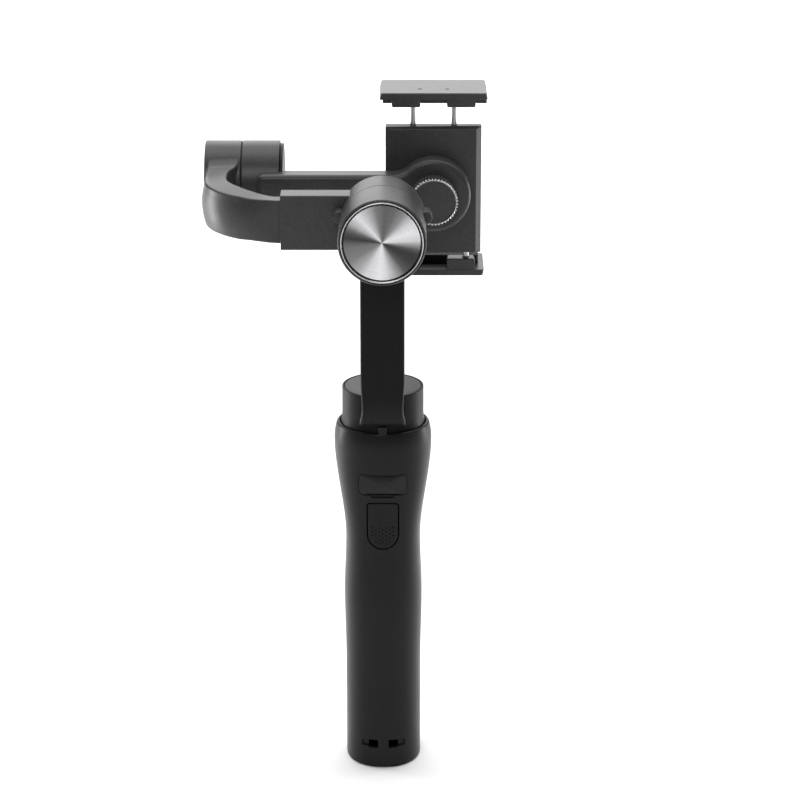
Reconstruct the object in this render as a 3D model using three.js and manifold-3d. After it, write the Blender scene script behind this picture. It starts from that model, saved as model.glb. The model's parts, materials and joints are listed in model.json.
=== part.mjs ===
// Three-axis hand-held gimbal stabilizer for a phone, in millimetres, with +Z up.
// The origin is the centre of the handle's base, on the pan axis. The side with the brushed
// disc, the trigger and the port cover faces -Y; the user's side, with the phone, faces +Y.

import * as THREE from "three";
import { mergeVertices } from "three/addons/utils/BufferGeometryUtils.js";
import Module from "manifold-3d";

const wasm = await Module();
wasm.setup();

// ---------------------------------------------------------------- driving dimensions

const GAP = 0.3; // between two pieces that meet
const WALL = 2; // moulded shells
const ROUND = 28; // sides of a large turned piece
const SMALL_ROUND = 12; // sides of a small one

const HANDLE_TOP = 155.3;
const HANDLE_SEAM_Y = 6; // where the front and rear shells part
const MOTOR_BORE = 18.4; // radius of the opening at the top of the handle

const PAN = { radius: 17.36, top: 171, bottom: 150.5, flareRadius: 18, flareBottom: 155, flareTop: 160 };
const ARM = { halfWidth: 9.25, back: -18, front: -26, bottom: 158.9 };
const ROLL = { z: 244.8, caseRadius: 18.1, rotorRadius: 17.9, front: -41, seam: -16.9, back: 0 };
const SLEEVE = { end: -42.4, front: -10, back: 0.5, halfHeight: 11.7 };
const TONGUE = { end: -20.3, front: -8.3, back: -0.9, halfHeight: 9.2 };
const TILT = { y: 61.4, z: 244.8, radius: 17.6, left: -77.5, seam: -61.6, right: -45 };
const BOSS = { x: 21.8, z: 243.4, radius: 16, front: 39, back: 48.9, armHalfHeight: 9.2 };
const CLAMP = { halfWidth: 20.8, front: 49.4, back: 57, bottom: 214.7, top: 271.3 };
const JAW = { front: 50.8, back: 78 };
const OPENING = { bottom: 211.3, top: 281.7 }; // between the jaw pads
const UPPER_ROD = { radius: 1.2, offset: 8.85 };
const LOWER_ROD = { radius: 1.2, offset: 14.35 };
const ROD_Y = 54.6;

const TRIGGER = { halfWidth: 6.45, bottom: 103.2, top: 123.8, pivotY: -14.6, pivotZ: 122.3 };
const PORT = { halfWidth: 10.1, bottom: 127.9, top: 136.8 };
const PANEL = { halfWidth: 8.5, bottom: 77.5, top: 133.5, innerY: 15.6 };
const JOYSTICK = { y: 14.5, z: 124 };
const RECORD = { z: 110.5, radius: 4.4 };
const ROCKER = { z: 98, halfWidth: 4, halfHeight: 5.5, pivotY: 15.5 };
const MODE = { z: 87, radius: 3.1 };

// ---------------------------------------------------------------- materials

const material = (color, roughness, metalness) =>
  new THREE.MeshStandardMaterial({ color, roughness, metalness });

const shellBlack = material(0x2b2b2c, 0.5, 0);
const controlBlack = material(0x1d1d1e, 0.45, 0);
const panelGloss = material(0x101011, 0.12, 0);
const satinGrey = material(0x3a3a3c, 0.42, 0.35);
const armBlack = material(0x202021, 0.45, 0.2);
const capGrey = material(0x6a6a6c, 0.45, 0.2);
const brushedDisc = material(0xb9b9b9, 0.28, 1);
const polishedTrim = material(0xdcdcdc, 0.12, 1);
const jawPlateGrey = material(0xa9a9aa, 0.4, 0.3);
const rubberBlack = material(0x18181a, 0.85, 0);
const steel = material(0xb5b5b5, 0.3, 1);
const copper = material(0xa85f32, 0.5, 0.8);
const boardGreen = material(0x1f4a33, 0.6, 0);
const cellWrap = material(0x3d5f86, 0.5, 0);
const lampWhite = material(0xe8eef2, 0.3, 0);

// ---------------------------------------------------------------- solid helpers

function solid(geometry) {
  const bare = geometry.index ? geometry.toNonIndexed() : geometry.clone();
  bare.deleteAttribute("normal");
  bare.deleteAttribute("uv");
  const merged = mergeVertices(bare, 1e-4);
  return new wasm.Manifold(
    new wasm.Mesh({
      numProp: 3,
      vertProperties: merged.attributes.position.array,
      triVerts: new Uint32Array(merged.index.array),
    }),
  );
}

const join = (first, ...others) => others.reduce((sum, other) => sum.add(other), first);
const cut = (first, ...others) => others.reduce((rest, other) => rest.subtract(other), first);

// A profile of [radius, distance along the axis] turned about a line through centre.
function revolve(axis, centre, profile, segments = ROUND) {
  const outline = profile.map(([radius, along]) => new THREE.Vector2(radius, along));
  const geometry = new THREE.LatheGeometry(outline, segments);
  if (axis === "z") geometry.rotateX(Math.PI / 2);
  if (axis === "x") geometry.rotateZ(-Math.PI / 2);
  return solid(geometry.translate(...centre));
}

// A plain rod between two distances along the axis, with an optional chamfer at both ends.
function rod(axis, centre, radius, from, to, segments = ROUND, chamfer = 0) {
  const corners = chamfer
    ? [[radius - chamfer, from], [radius, from + chamfer], [radius, to - chamfer], [radius - chamfer, to]]
    : [[radius, from], [radius, to]];
  return revolve(axis, centre, [[0, from], ...corners, [0, to]], segments);
}

function ring(axis, centre, inner, outer, from, to, segments = ROUND) {
  const profile = [[inner, from], [outer, from], [outer, to], [inner, to], [inner, from]];
  return revolve(axis, centre, profile, segments);
}

// A flat outline pushed along an axis. Its plane is XY for z, XZ for y and YZ for x.
function prism(axis, outline, from, to, bevel = 0, curveSegments = 4) {
  const geometry = new THREE.ExtrudeGeometry(outline, {
    depth: to - from - 2 * bevel,
    bevelEnabled: bevel > 0,
    bevelThickness: bevel,
    bevelSize: bevel,
    bevelOffset: -bevel,
    bevelSegments: 1,
    curveSegments,
  });
  if (axis === "z") geometry.translate(0, 0, from + bevel);
  if (axis === "y") geometry.rotateX(Math.PI / 2).translate(0, to - bevel, 0);
  if (axis === "x") geometry.rotateX(Math.PI / 2).rotateZ(Math.PI / 2).translate(from + bevel, 0, 0);
  return solid(geometry);
}

function block([x0, x1], [y0, y1], [z0, z1]) {
  const geometry = new THREE.BoxGeometry(x1 - x0, y1 - y0, z1 - z0);
  return solid(geometry.translate((x0 + x1) / 2, (y0 + y1) / 2, (z0 + z1) / 2));
}

function roundedRectangle(left, right, bottom, top, radius) {
  const outline = new THREE.Shape();
  outline.moveTo(left + radius, bottom);
  outline.absarc(right - radius, bottom + radius, radius, -Math.PI / 2, 0);
  outline.absarc(right - radius, top - radius, radius, 0, Math.PI / 2);
  outline.absarc(left + radius, top - radius, radius, Math.PI / 2, Math.PI);
  outline.absarc(left + radius, bottom + radius, radius, Math.PI, 1.5 * Math.PI);
  return outline;
}

const polygon = (points) => new THREE.Shape(points.map(([u, v]) => new THREE.Vector2(u, v)));

const stabilizer = new THREE.Group();
stabilizer.name = "gimbal_stabilizer";

function piece(name, body, look) {
  const made = body.getMesh();
  const geometry = new THREE.BufferGeometry();
  geometry.setAttribute("position", new THREE.BufferAttribute(made.vertProperties, 3));
  geometry.setIndex(new THREE.BufferAttribute(made.triVerts, 1));
  geometry.computeVertexNormals();
  const mesh = new THREE.Mesh(geometry, look);
  mesh.name = name;
  stabilizer.add(mesh);
}

// ---------------------------------------------------------------- handle form

const { smoothstep, lerp } = THREE.MathUtils;
const WAIST_Z = 103; // the narrowest place, where the fingers close
const SHOULDER_Z = 148; // the widest place, round the pan motor

function handleHalfWidth(z) {
  if (z > SHOULDER_Z) return 20.8 - 1.2 * ((z - SHOULDER_Z) / (HANDLE_TOP - SHOULDER_Z)) ** 2;
  if (z > WAIST_Z) return lerp(16.05, 20.8, smoothstep(z, WAIST_Z, SHOULDER_Z));
  const palmSwell = 0.6 * smoothstep(z, 45, 77) * (1 - smoothstep(z, 77, WAIST_Z));
  return 16.2 + palmSwell - 0.15 * smoothstep(z, 77, WAIST_Z);
}

const handleHalfDepth = (z) => handleHalfWidth(z) + lerp(2.6, 0, smoothstep(z, 100, 146));

// Exponent of the section's superellipse: an oval at the foot, squarer in the grip, a circle at the motor.
const handleSquareness = (z) => 2.2 + 0.3 * smoothstep(z, 60, 110) - 0.5 * smoothstep(z, 115, 146);

function handleRing(z, inset, largest, count) {
  const halfWidth = Math.min(handleHalfWidth(z) - inset, largest);
  const halfDepth = Math.min(handleHalfDepth(z) - inset, largest + handleHalfDepth(z) - handleHalfWidth(z));
  const power = 2 / handleSquareness(z);
  return Array.from({ length: count }, (_, i) => {
    const angle = (2 * Math.PI * i) / count;
    const [c, s] = [Math.cos(angle), Math.sin(angle)];
    return [
      halfWidth * Math.sign(c) * Math.abs(c) ** power,
      halfDepth * Math.sign(s) * Math.abs(s) ** power,
      z,
    ];
  });
}

// A closed body through a stack of rings that all have the same number of points.
function loft(rings) {
  const count = rings[0].length;
  const last = rings.length - 1;
  const positions = rings.flat(2);
  positions.push(0, 0, rings[0][0][2], 0, 0, rings[last][0][2]);
  const bottomCentre = count * rings.length;
  const faces = [];
  for (let i = 0; i < count; i++) {
    const next = (i + 1) % count;
    for (let level = 0; level < last; level++) {
      const [a, b] = [level * count + i, level * count + next];
      faces.push(a, b, b + count, a, b + count, a + count);
    }
    faces.push(bottomCentre, next, i, bottomCentre + 1, last * count + i, last * count + next);
  }
  const geometry = new THREE.BufferGeometry();
  geometry.setAttribute("position", new THREE.Float32BufferAttribute(positions, 3));
  geometry.setIndex(faces);
  return solid(geometry);
}

const FOOT_ROUNDING = 1.2;
const footInset = (z) =>
  z < FOOT_ROUNDING ? FOOT_ROUNDING - Math.sqrt(FOOT_ROUNDING ** 2 - (FOOT_ROUNDING - z) ** 2) : 0;
const OUTER_LEVELS = [0, 0.35, 1.2, 45, 77, 103, 113, 122, 131, 140, 148, 152.5, 155.3];
const INNER_LEVELS = [-1, 77, 103, 118, 132, 146, 160];

const handleBody = loft(OUTER_LEVELS.map((z) => handleRing(z, footInset(z), 30, 32)));
const handleHollow = loft(
  INNER_LEVELS.map((z) => handleRing(Math.max(0, Math.min(z, SHOULDER_Z)), WALL, MOTOR_BORE, 20)
    .map(([x, y]) => [x, y, z])),
);
const inHandleSkin = (body) => body.intersect(handleBody);

// ---------------------------------------------------------------- rear controls

function triggerOutline(margin) {
  const half = TRIGGER.halfWidth + margin;
  const top = TRIGGER.top + margin;
  const roundZ = TRIGGER.bottom + TRIGGER.halfWidth;
  const outline = new THREE.Shape();
  outline.moveTo(-half, top - 1);
  outline.lineTo(-half, roundZ);
  outline.absarc(0, roundZ, half, Math.PI, 2 * Math.PI);
  outline.lineTo(half, top - 1);
  outline.quadraticCurveTo(half, top, half - 1, top);
  outline.lineTo(-half + 1, top);
  outline.quadraticCurveTo(-half, top, -half, top - 1);
  return outline;
}

const portOutline = (margin) =>
  roundedRectangle(
    -PORT.halfWidth - margin,
    PORT.halfWidth + margin,
    PORT.bottom - margin,
    PORT.top + margin,
    1.8 + margin,
  );

const TRIGGER_CLEARANCE = 0.5;
const SOCKET = { x: 4.6, z: 132.3, halfWidth: 4, halfHeight: 1.7, front: -17, back: -11 };
const LANYARD = { inner: 2.3, outer: 6.4, bottom: 9.4, top: 13.3 };
const FINGER_NOTCH = { halfWidth: 5.1, drop: 1.3 };

function rearShell() {
  const half = block([-40, 40], [-40, HANDLE_SEAM_Y - GAP / 2], [-1, 160]);
  const portWall = block([-11.6, 11.6], [-17.4, -16.4], [126.4, 138.3]);
  const indexTab = block([-1.8, 1.8], [-19.5, -18.6], [152.5, ARM.bottom - 0.5]);
  const lanyardSlots = [-1, 1].map((side) => {
    const ends = [side * LANYARD.inner, side * LANYARD.outer].sort((a, b) => a - b);
    return block(ends, [-25, -12], [LANYARD.bottom, LANYARD.top]);
  });
  const lanyardGrooves = [-1, 1].map((side) => {
    const taper = polygon([[side * 6, -25], [side * 9.4, -25], [side * 9.4, -15.2], [side * 6, -16.6]]);
    return prism("z", taper, LANYARD.bottom + 0.6, LANYARD.top - 0.6);
  });
  const skin = cut(
    handleBody.intersect(half),
    handleHollow,
    prism("y", portOutline(GAP), -30, -10),
    block([-FINGER_NOTCH.halfWidth, FINGER_NOTCH.halfWidth], [-30, -18.6],
      [PORT.bottom - FINGER_NOTCH.drop, PORT.bottom + 1]),
    prism("y", triggerOutline(TRIGGER_CLEARANCE), -30, -10),
    ...lanyardSlots,
    ...lanyardGrooves,
  );
  const socketHoles = [-1, 1].map((side) => {
    const half = SOCKET.halfWidth + GAP;
    const tall = SOCKET.halfHeight + GAP;
    return block([side * SOCKET.x - half, side * SOCKET.x + half], [-18, -15],
      [SOCKET.z - tall, SOCKET.z + tall]);
  });
  return cut(join(skin, portWall.intersect(handleBody), indexTab), ...socketHoles);
}

function trigger() {
  const pad = prism("y", triggerOutline(0), -30, -15.2);
  const pivotBarrel = rod("x", [0, TRIGGER.pivotY, TRIGGER.pivotZ], 1.1, -7.8, 7.8, 8);
  const switchFinger = block([-1.5, 1.5], [-15.6, -13.6], [105, 108]);
  return join(inHandleSkin(pad), pivotBarrel, switchFinger);
}

const portCover = () => inHandleSkin(prism("y", portOutline(0), -30, -17.8));

function usbSocket(side) {
  const { x, z, halfWidth, halfHeight, front, back } = SOCKET;
  const centre = side * x;
  const wall = 0.5;
  const can = block([centre - halfWidth, centre + halfWidth], [front, back], [z - halfHeight, z + halfHeight]);
  const mouth = block([centre - halfWidth + wall, centre + halfWidth - wall], [front - 1, back - 1],
    [z - halfHeight + wall, z + halfHeight - wall]);
  const tongue = block([centre - 2.6, centre + 2.6], [front + 1, back - 0.5], [z - 0.35, z + 0.35]);
  return join(cut(can, mouth), tongue);
}

// ---------------------------------------------------------------- front controls

function frontShell() {
  const half = block([-40, 40], [HANDLE_SEAM_Y + GAP / 2, 40], [-1, 160]);
  const window = roundedRectangle(-PANEL.halfWidth - GAP, PANEL.halfWidth + GAP,
    PANEL.bottom - GAP, PANEL.top + GAP, 4);
  return cut(handleBody.intersect(half), handleHollow, prism("y", window, 10, 30));
}

function controlPanel() {
  const outline = roundedRectangle(-PANEL.halfWidth, PANEL.halfWidth, PANEL.bottom, PANEL.top, 3.7);
  const rockerHole = roundedRectangle(-ROCKER.halfWidth - GAP, ROCKER.halfWidth + GAP,
    ROCKER.z - ROCKER.halfHeight - GAP, ROCKER.z + ROCKER.halfHeight + GAP, 2.3);
  const through = (z, radius) => rod("y", [0, 0, z], radius, 10, 30, 24);
  return cut(
    inHandleSkin(prism("y", outline, PANEL.innerY, 30)),
    through(JOYSTICK.z, 5),
    through(RECORD.z, RECORD.radius + GAP),
    through(MODE.z, MODE.radius + GAP),
    prism("y", rockerHole, 10, 30),
    block([-3.3, 3.3], [10, 30], [79.7, 81.3]),
  );
}

const statusWindow = () => inHandleSkin(block([-3, 3], [16.2, 30], [80, 81]));

function joystickCradle() {
  const centre = [0, 0, JOYSTICK.z];
  const trunnions = rod("x", [0, JOYSTICK.y, JOYSTICK.z], 0.6, -4.9, 4.9, 8);
  return join(ring("y", centre, 2.7, 3.9, 13.8, 15.2, 16), cut(trunnions, rod("y", centre, 3, 12, 17, 16)));
}

function joystickCap() {
  const profile = [[0, 13.2], [1.6, 13.2], [1.6, 20.4], [2.6, 21.6], [4.6, 21.8],
    [4.7, 23.2], [3.8, 24], [2.6, 23.6], [0, 23.3]];
  return revolve("y", [0, 0, JOYSTICK.z], profile, 16);
}

const roundButton = (z, radius, face) => rod("y", [0, 0, z], radius, 14.6, face, 16, 0.4);

function zoomRocker() {
  const outline = roundedRectangle(-ROCKER.halfWidth, ROCKER.halfWidth,
    ROCKER.z - ROCKER.halfHeight, ROCKER.z + ROCKER.halfHeight, 2);
  return prism("y", outline, 15, 20.1, 0.5);
}

// ---------------------------------------------------------------- base, power and board

const BASE_THICKNESS = 4;
const THREAD_RADIUS = 3.2;
const BUSHING_RADIUS = 6;

function baseCap() {
  const sections = [0, BASE_THICKNESS].map((z) =>
    handleRing(0, WALL + GAP, 30, 28).map(([x, y]) => [x, y, z]));
  return cut(loft(sections), rod("z", [0, 0, 0], BUSHING_RADIUS + GAP, -1, 6, 24));
}

function tripodBushing() {
  const profile = [[0, 9], [THREAD_RADIUS, 9], [THREAD_RADIUS, 0], [BUSHING_RADIUS, 0],
    [BUSHING_RADIUS, 5], [4.8, 5], [4.8, 10.5], [0, 10.5]];
  return revolve("z", [0, 0, 0], profile, 24);
}

const BATTERY = { radius: 9.2, bottom: 14.5, length: 65 };

function batteryCell() {
  const top = BATTERY.bottom + BATTERY.length;
  return join(
    rod("z", [0, 0, 0], BATTERY.radius, BATTERY.bottom, top, 24, 0.6),
    rod("z", [0, 0, 0], 2.8, top - 1, top + 1.5, 12),
  );
}

function mainBoard() {
  const board = block([-10, 10], [10.6, 12.2], [80, 133]);
  const processor = block([-4, 4], [9.4, 10.8], [100, 108]);
  const joystickBase = block([-5, 5], [12, 12.7], [119, 129]);
  return join(board, processor, joystickBase);
}

const triggerSwitch = () => block([-3, 3], [-10.2, -6], [103, 110]);

// ---------------------------------------------------------------- motors

const MAGNET_THICKNESS = 1.4;
const SHAFT_RADIUS = 2.5;

// A stator: a mounting disc, a hub and nine wound teeth, with a bore for the rotor's shaft.
function stator(axis, centre, disc, teeth) {
  const hub = rod(axis, centre, 6.5, disc.from, teeth.to, 12);
  const drum = rod(axis, centre, teeth.radius, teeth.from, teeth.to, 18);
  const slots = Array.from({ length: 9 }, (_, i) => {
    const angle = (2 * Math.PI * i) / 9;
    const reach = teeth.radius - 0.9;
    const [u, v] = [reach * Math.cos(angle), reach * Math.sin(angle)];
    const place = { x: [0, u, v], y: [u, 0, v], z: [u, v, 0] }[axis];
    return rod(axis, place.map((value, k) => value + centre[k]), 1.6, teeth.from - 1, teeth.to + 1, 6);
  });
  const plate = rod(axis, centre, disc.radius, disc.from, disc.to, 18);
  const bore = rod(axis, centre, SHAFT_RADIUS + GAP, disc.from - 5, teeth.to + 5, SMALL_ROUND);
  return cut(join(plate, hub, cut(drum, ...slots)), bore);
}

function shaft(axis, centre, from, to, headFrom, headTo) {
  return join(
    rod(axis, centre, SHAFT_RADIUS, from, to, SMALL_ROUND),
    rod(axis, centre, 5, headFrom, headTo, SMALL_ROUND),
  );
}

// ---------------------------------------------------------------- pan stage

const PAN_AXIS = [0, 0, 0];

function panHousing() {
  const { radius, top, bottom, flareRadius, flareBottom, flareTop } = PAN;
  const profile = [
    [0, 166.5], [15.7, 166.5], [15.7, bottom], [radius, bottom], [radius, flareBottom - 0.6],
    [flareRadius, flareBottom], [lerp(radius, flareRadius, 0.6), flareBottom + 1.2],
    [lerp(radius, flareRadius, 0.2), flareBottom + 2.8], [radius, flareTop],
    [radius, top - 0.3], [radius - 0.3, top], [16.6, top], [16.6, 168.6], [0, 168.6],
  ];
  return revolve("z", PAN_AXIS, profile);
}

// The upright arm is narrowest beside the motor, flares where it joins it, and tucks in below.
function verticalArm() {
  const front = new THREE.Shape();
  const flare = ARM.halfWidth + 0.5;
  const waist = ARM.halfWidth - 0.6;
  front.moveTo(-flare, ARM.bottom);
  front.lineTo(flare, ARM.bottom);
  front.quadraticCurveTo(waist, 163.5, waist, 168);
  front.quadraticCurveTo(waist, 174, ARM.halfWidth, 181);
  front.lineTo(ARM.halfWidth, 229.5);
  front.lineTo(-ARM.halfWidth, 229.5);
  front.lineTo(-ARM.halfWidth, 181);
  front.quadraticCurveTo(-waist, 174, -waist, 168);
  front.quadraticCurveTo(-waist, 163.5, -flare, ARM.bottom);
  const side = new THREE.Shape();
  side.moveTo(-14, ARM.bottom);
  side.lineTo(-14, 161.5);
  side.lineTo(ARM.back, 161.5);
  side.lineTo(ARM.back, 229.5);
  side.lineTo(ARM.front, 229.5);
  side.lineTo(ARM.front, 174);
  side.quadraticCurveTo(ARM.front, ARM.bottom, ARM.back, ARM.bottom);
  return cut(
    prism("y", front, -30, -10).intersect(prism("x", side, -15, 15)),
    rod("z", PAN_AXIS, PAN.radius + GAP, 140, 180),
    rod("y", [0, 0, ROLL.z], ROLL.caseRadius + GAP, -42, -10),
  );
}

// ---------------------------------------------------------------- roll stage

const ROLL_AXIS = [0, 0, ROLL.z];

function rollMotorCase() {
  const { caseRadius: radius, front } = ROLL;
  const back = ROLL.seam - GAP;
  const profile = [
    [16.8, -36.6], [14, -36.6], [14, -38.6], [17.35, -38.6], [17.35, front], [radius - 0.5, front],
    [radius, front + 0.6], [radius, back], [16.8, back], [16.8, -36.6],
  ];
  return revolve("y", ROLL_AXIS, profile);
}

const rollTrimRing = () => ring("y", ROLL_AXIS, 16.3, 17.05, -41.2, -38.9);
const rollDisc = () => rod("y", ROLL_AXIS, 15.7, -40.6, -38.9, ROUND, 0.2);

const STOP_LUG = { x: 17.9, rise: 4, radius: 2.7, front: -16.7, back: -9 };

// The rotor cup carries the sleeve that the curved arm slides in, and two stop lugs.
function rollHousing() {
  const drum = rod("y", ROLL_AXIS, ROLL.rotorRadius, ROLL.seam, ROLL.back);
  const sleeve = block([SLEEVE.end, -10], [SLEEVE.front, SLEEVE.back],
    [ROLL.z - SLEEVE.halfHeight, ROLL.z + SLEEVE.halfHeight]);
  const lugs = [-1, 1].map((side) =>
    rod("y", [side * STOP_LUG.x, 0, ROLL.z + STOP_LUG.rise], STOP_LUG.radius,
      STOP_LUG.front, STOP_LUG.back, SMALL_ROUND, 0.5));
  const slot = block([SLEEVE.end - 1, TONGUE.end + 1], [TONGUE.front - GAP, TONGUE.back + GAP],
    [ROLL.z - TONGUE.halfHeight - GAP, ROLL.z + TONGUE.halfHeight + GAP]);
  return cut(
    join(drum, sleeve, ...lugs),
    slot,
    rod("y", ROLL_AXIS, 15.7, -18, -3),
    rod("y", ROLL_AXIS, 14.8, -1.2, 2),
    rod("y", [LOCK.x, 0, ROLL.z], LOCK.shank + GAP, -5, 2, SMALL_ROUND),
  );
}

const LOCK = { x: -31, radius: 4.5, shank: 1.8 };

function armLockScrew() {
  const grips = Array.from({ length: 8 }, (_, i) => {
    const angle = (2 * Math.PI * i) / 8;
    const centre = [LOCK.x + 4.9 * Math.cos(angle), 0, ROLL.z + 4.9 * Math.sin(angle)];
    return rod("y", centre, 0.7, 0, 7, 6);
  });
  return join(
    cut(rod("y", [LOCK.x, 0, ROLL.z], LOCK.radius, 0.8, 5.6, 24, 0.4), ...grips),
    rod("y", [LOCK.x, 0, ROLL.z], LOCK.shank, -0.5, 2, SMALL_ROUND),
  );
}

// ---------------------------------------------------------------- curved arm and tilt motor

const TILT_AXIS = [0, TILT.y, TILT.z];

const BEND = { start: -41, innerStart: -43.5, outer: -76, inner: -66.3, halfHeight: 10.4 };

// The arm leaves the sleeve straight, sweeps round the corner and ends in the tilt motor's case.
function rollArm() {
  const plan = new THREE.Shape();
  plan.moveTo(TONGUE.end, TONGUE.front);
  plan.lineTo(BEND.start, TONGUE.front);
  plan.bezierCurveTo(-57, TONGUE.front, BEND.outer, 6, BEND.outer, 27);
  plan.lineTo(BEND.outer, 52);
  plan.lineTo(TILT.seam, 52);
  plan.bezierCurveTo(TILT.seam, 46, BEND.inner, 42, BEND.inner, 34);
  plan.lineTo(BEND.inner, 27);
  plan.bezierCurveTo(BEND.inner, 14, -50, TONGUE.back, BEND.innerStart, TONGUE.back);
  plan.lineTo(TONGUE.end, TONGUE.back);
  const tall = TILT.z + BEND.halfHeight;
  const low = TILT.z - BEND.halfHeight;
  const front = polygon([[TONGUE.end, TILT.z - TONGUE.halfHeight], [TONGUE.end, TILT.z + TONGUE.halfHeight],
    [-45, TILT.z + TONGUE.halfHeight], [-60, tall], [-80, tall], [-80, low], [-60, low],
    [-45, TILT.z - TONGUE.halfHeight]].reverse());
  const sweep = prism("z", plan, low, tall, 0, 7).intersect(prism("y", front, -20, 60));
  const motorCase = rod("x", TILT_AXIS, TILT.radius, TILT.left, TILT.seam, ROUND, 0.6);
  return cut(join(sweep, motorCase), rod("x", TILT_AXIS, 14.9, -80, -60));
}

function tiltHousing() {
  const profile = [
    [0, -48], [14.7, -48], [14.7, -61.3], [TILT.radius - 0.3, -61.3], [TILT.radius, -61],
    [TILT.radius, TILT.right - 0.5], [TILT.radius - 0.5, TILT.right], [0, TILT.right],
  ];
  return revolve("x", TILT_AXIS, profile);
}

const tiltFlange = () => join(
  rod("x", TILT_AXIS, 16.4, -44.7, -43.5, ROUND, 0.3),
  rod("x", TILT_AXIS, 2.4, -44, -41, 12, 0.4),
);

// The inner arm is a flat bar in front of the rotor that ends in the clamp's round boss.
function tiltArm() {
  const { x, z, radius, front, back, armHalfHeight } = BOSS;
  const fillet = 10;
  const corner = 3;
  const end = -54.4 + corner;
  const rise = armHalfHeight + fillet;
  const reach = Math.sqrt((radius + fillet) ** 2 - rise ** 2);
  const meet = Math.atan2(rise, -reach);
  const outline = new THREE.Shape();
  outline.moveTo(end, z - armHalfHeight);
  outline.lineTo(x - reach, z - armHalfHeight);
  outline.absarc(x - reach, z - rise, fillet, Math.PI / 2, Math.PI - meet, true);
  outline.absarc(x, z, radius, -meet, meet);
  outline.absarc(x - reach, z + rise, fillet, meet - Math.PI, -Math.PI / 2, true);
  outline.lineTo(end, z + armHalfHeight);
  outline.absarc(end, z + armHalfHeight - corner, corner, Math.PI / 2, Math.PI);
  outline.absarc(end, z - armHalfHeight + corner, corner, Math.PI, 1.5 * Math.PI);
  return cut(
    prism("y", outline, front, back, 1.2, 9),
    rod("x", TILT_AXIS, TILT.radius + GAP, -60, -43.2),
    rod("y", [x, 0, z], PIVOT_RADIUS + GAP, front - 1, back + 1, 24),
  );
}

// ---------------------------------------------------------------- phone clamp

const PIVOT_RADIUS = 4.5;
const KNOB = { radius: 10.3, front: 29, back: 38.7, flutes: 24 };
const CLAMP_AXIS = [BOSS.x, 0, BOSS.z];

function clampKnob() {
  const outline = new THREE.Shape();
  for (let i = 0; i < 2 * KNOB.flutes; i++) {
    const angle = (Math.PI * i) / KNOB.flutes;
    const radius = i % 2 ? KNOB.radius - 0.45 : KNOB.radius;
    const [u, v] = [BOSS.x + radius * Math.cos(angle), BOSS.z + radius * Math.sin(angle)];
    if (i) outline.lineTo(u, v);
    else outline.moveTo(u, v);
  }
  return cut(
    prism("y", outline, KNOB.front, KNOB.back, 0.4),
    rod("y", CLAMP_AXIS, PIVOT_RADIUS + GAP, 30.7, 45, 24),
  );
}

const clampPivot = () => join(
  rod("y", CLAMP_AXIS, PIVOT_RADIUS, 31, 53.5, 24),
  rod("y", CLAMP_AXIS, 7, 52.8, 54, 24),
);

const JAW_SIDES = [-1, 1];
const CLAMP_WALL = 2.2; // top and bottom of the cover

function clampCover() {
  const { halfWidth, front, back, bottom, top } = CLAMP;
  const [left, right] = [BOSS.x - halfWidth, BOSS.x + halfWidth];
  const chamfer = 2.4;
  const depth = { left: 1.6, right: 3.4 };
  const plan = polygon([[left + chamfer, front], [right - chamfer, front], [right, front + depth.right],
    [right, back], [left, back], [left, front + depth.left]]);
  const side = polygon([[front, bottom + 0.9], [front, top - 0.9], [front + 0.9, top],
    [back, top], [back, bottom], [front + 0.9, bottom]].reverse());
  const rodHoles = [
    ...rodBores(UPPER_ROD, top - 6, top + 2),
    ...rodBores(LOWER_ROD, bottom - 2, bottom + 6),
  ];
  return cut(
    prism("z", plan, bottom, top).intersect(prism("x", side, left - 1, right + 1)),
    block([left + WALL, right - WALL - 0.6], [front + 1.8, back + 1], [bottom + CLAMP_WALL, top - CLAMP_WALL]),
    rod("y", CLAMP_AXIS, PIVOT_RADIUS + GAP, front - 1, front + 3, 24),
    ...rodHoles,
  );
}

const COLLAR = { radius: 1.9, length: 1.5 };
const ROD_SIDES = 12;

const atRod = (offset, sign) => [BOSS.x + sign * offset, ROD_Y, 0];

function rodBores({ radius, offset }, from, to) {
  return JAW_SIDES.map((sign) => rod("z", atRod(offset, sign), radius + GAP, from, to, ROD_SIDES));
}

function jawRod({ radius, offset }, sign, from, to, collarFrom) {
  const centre = atRod(offset, sign);
  return join(
    rod("z", centre, radius, from, to, ROD_SIDES),
    rod("z", centre, COLLAR.radius, collarFrom, collarFrom + COLLAR.length, ROD_SIDES),
  );
}

// A compression spring round a jaw rod, as a sleeve of the coil's outer shape.
const jawSpring = ({ radius, offset }, sign, from, to) =>
  ring("z", atRod(offset, sign), radius + GAP, radius + 0.75, from, to, ROD_SIDES);

const UPPER = {
  outside: 286.1, inside: 283.1, footEnd: 279.75, lipEnd: 278.9,
  outsideHalfWidth: 22.7, insideHalfWidth: 23.4, footInner: 5.7, footOuter: 18.1,
};
const LOWER = {
  outside: 204.55, inside: 207.25, footEnd: 212.15, lipEnd: 214.7,
  outsideHalfWidth: 21.7, insideHalfWidth: 22.2, footInner: 6, footOuter: 18.3,
};

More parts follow.
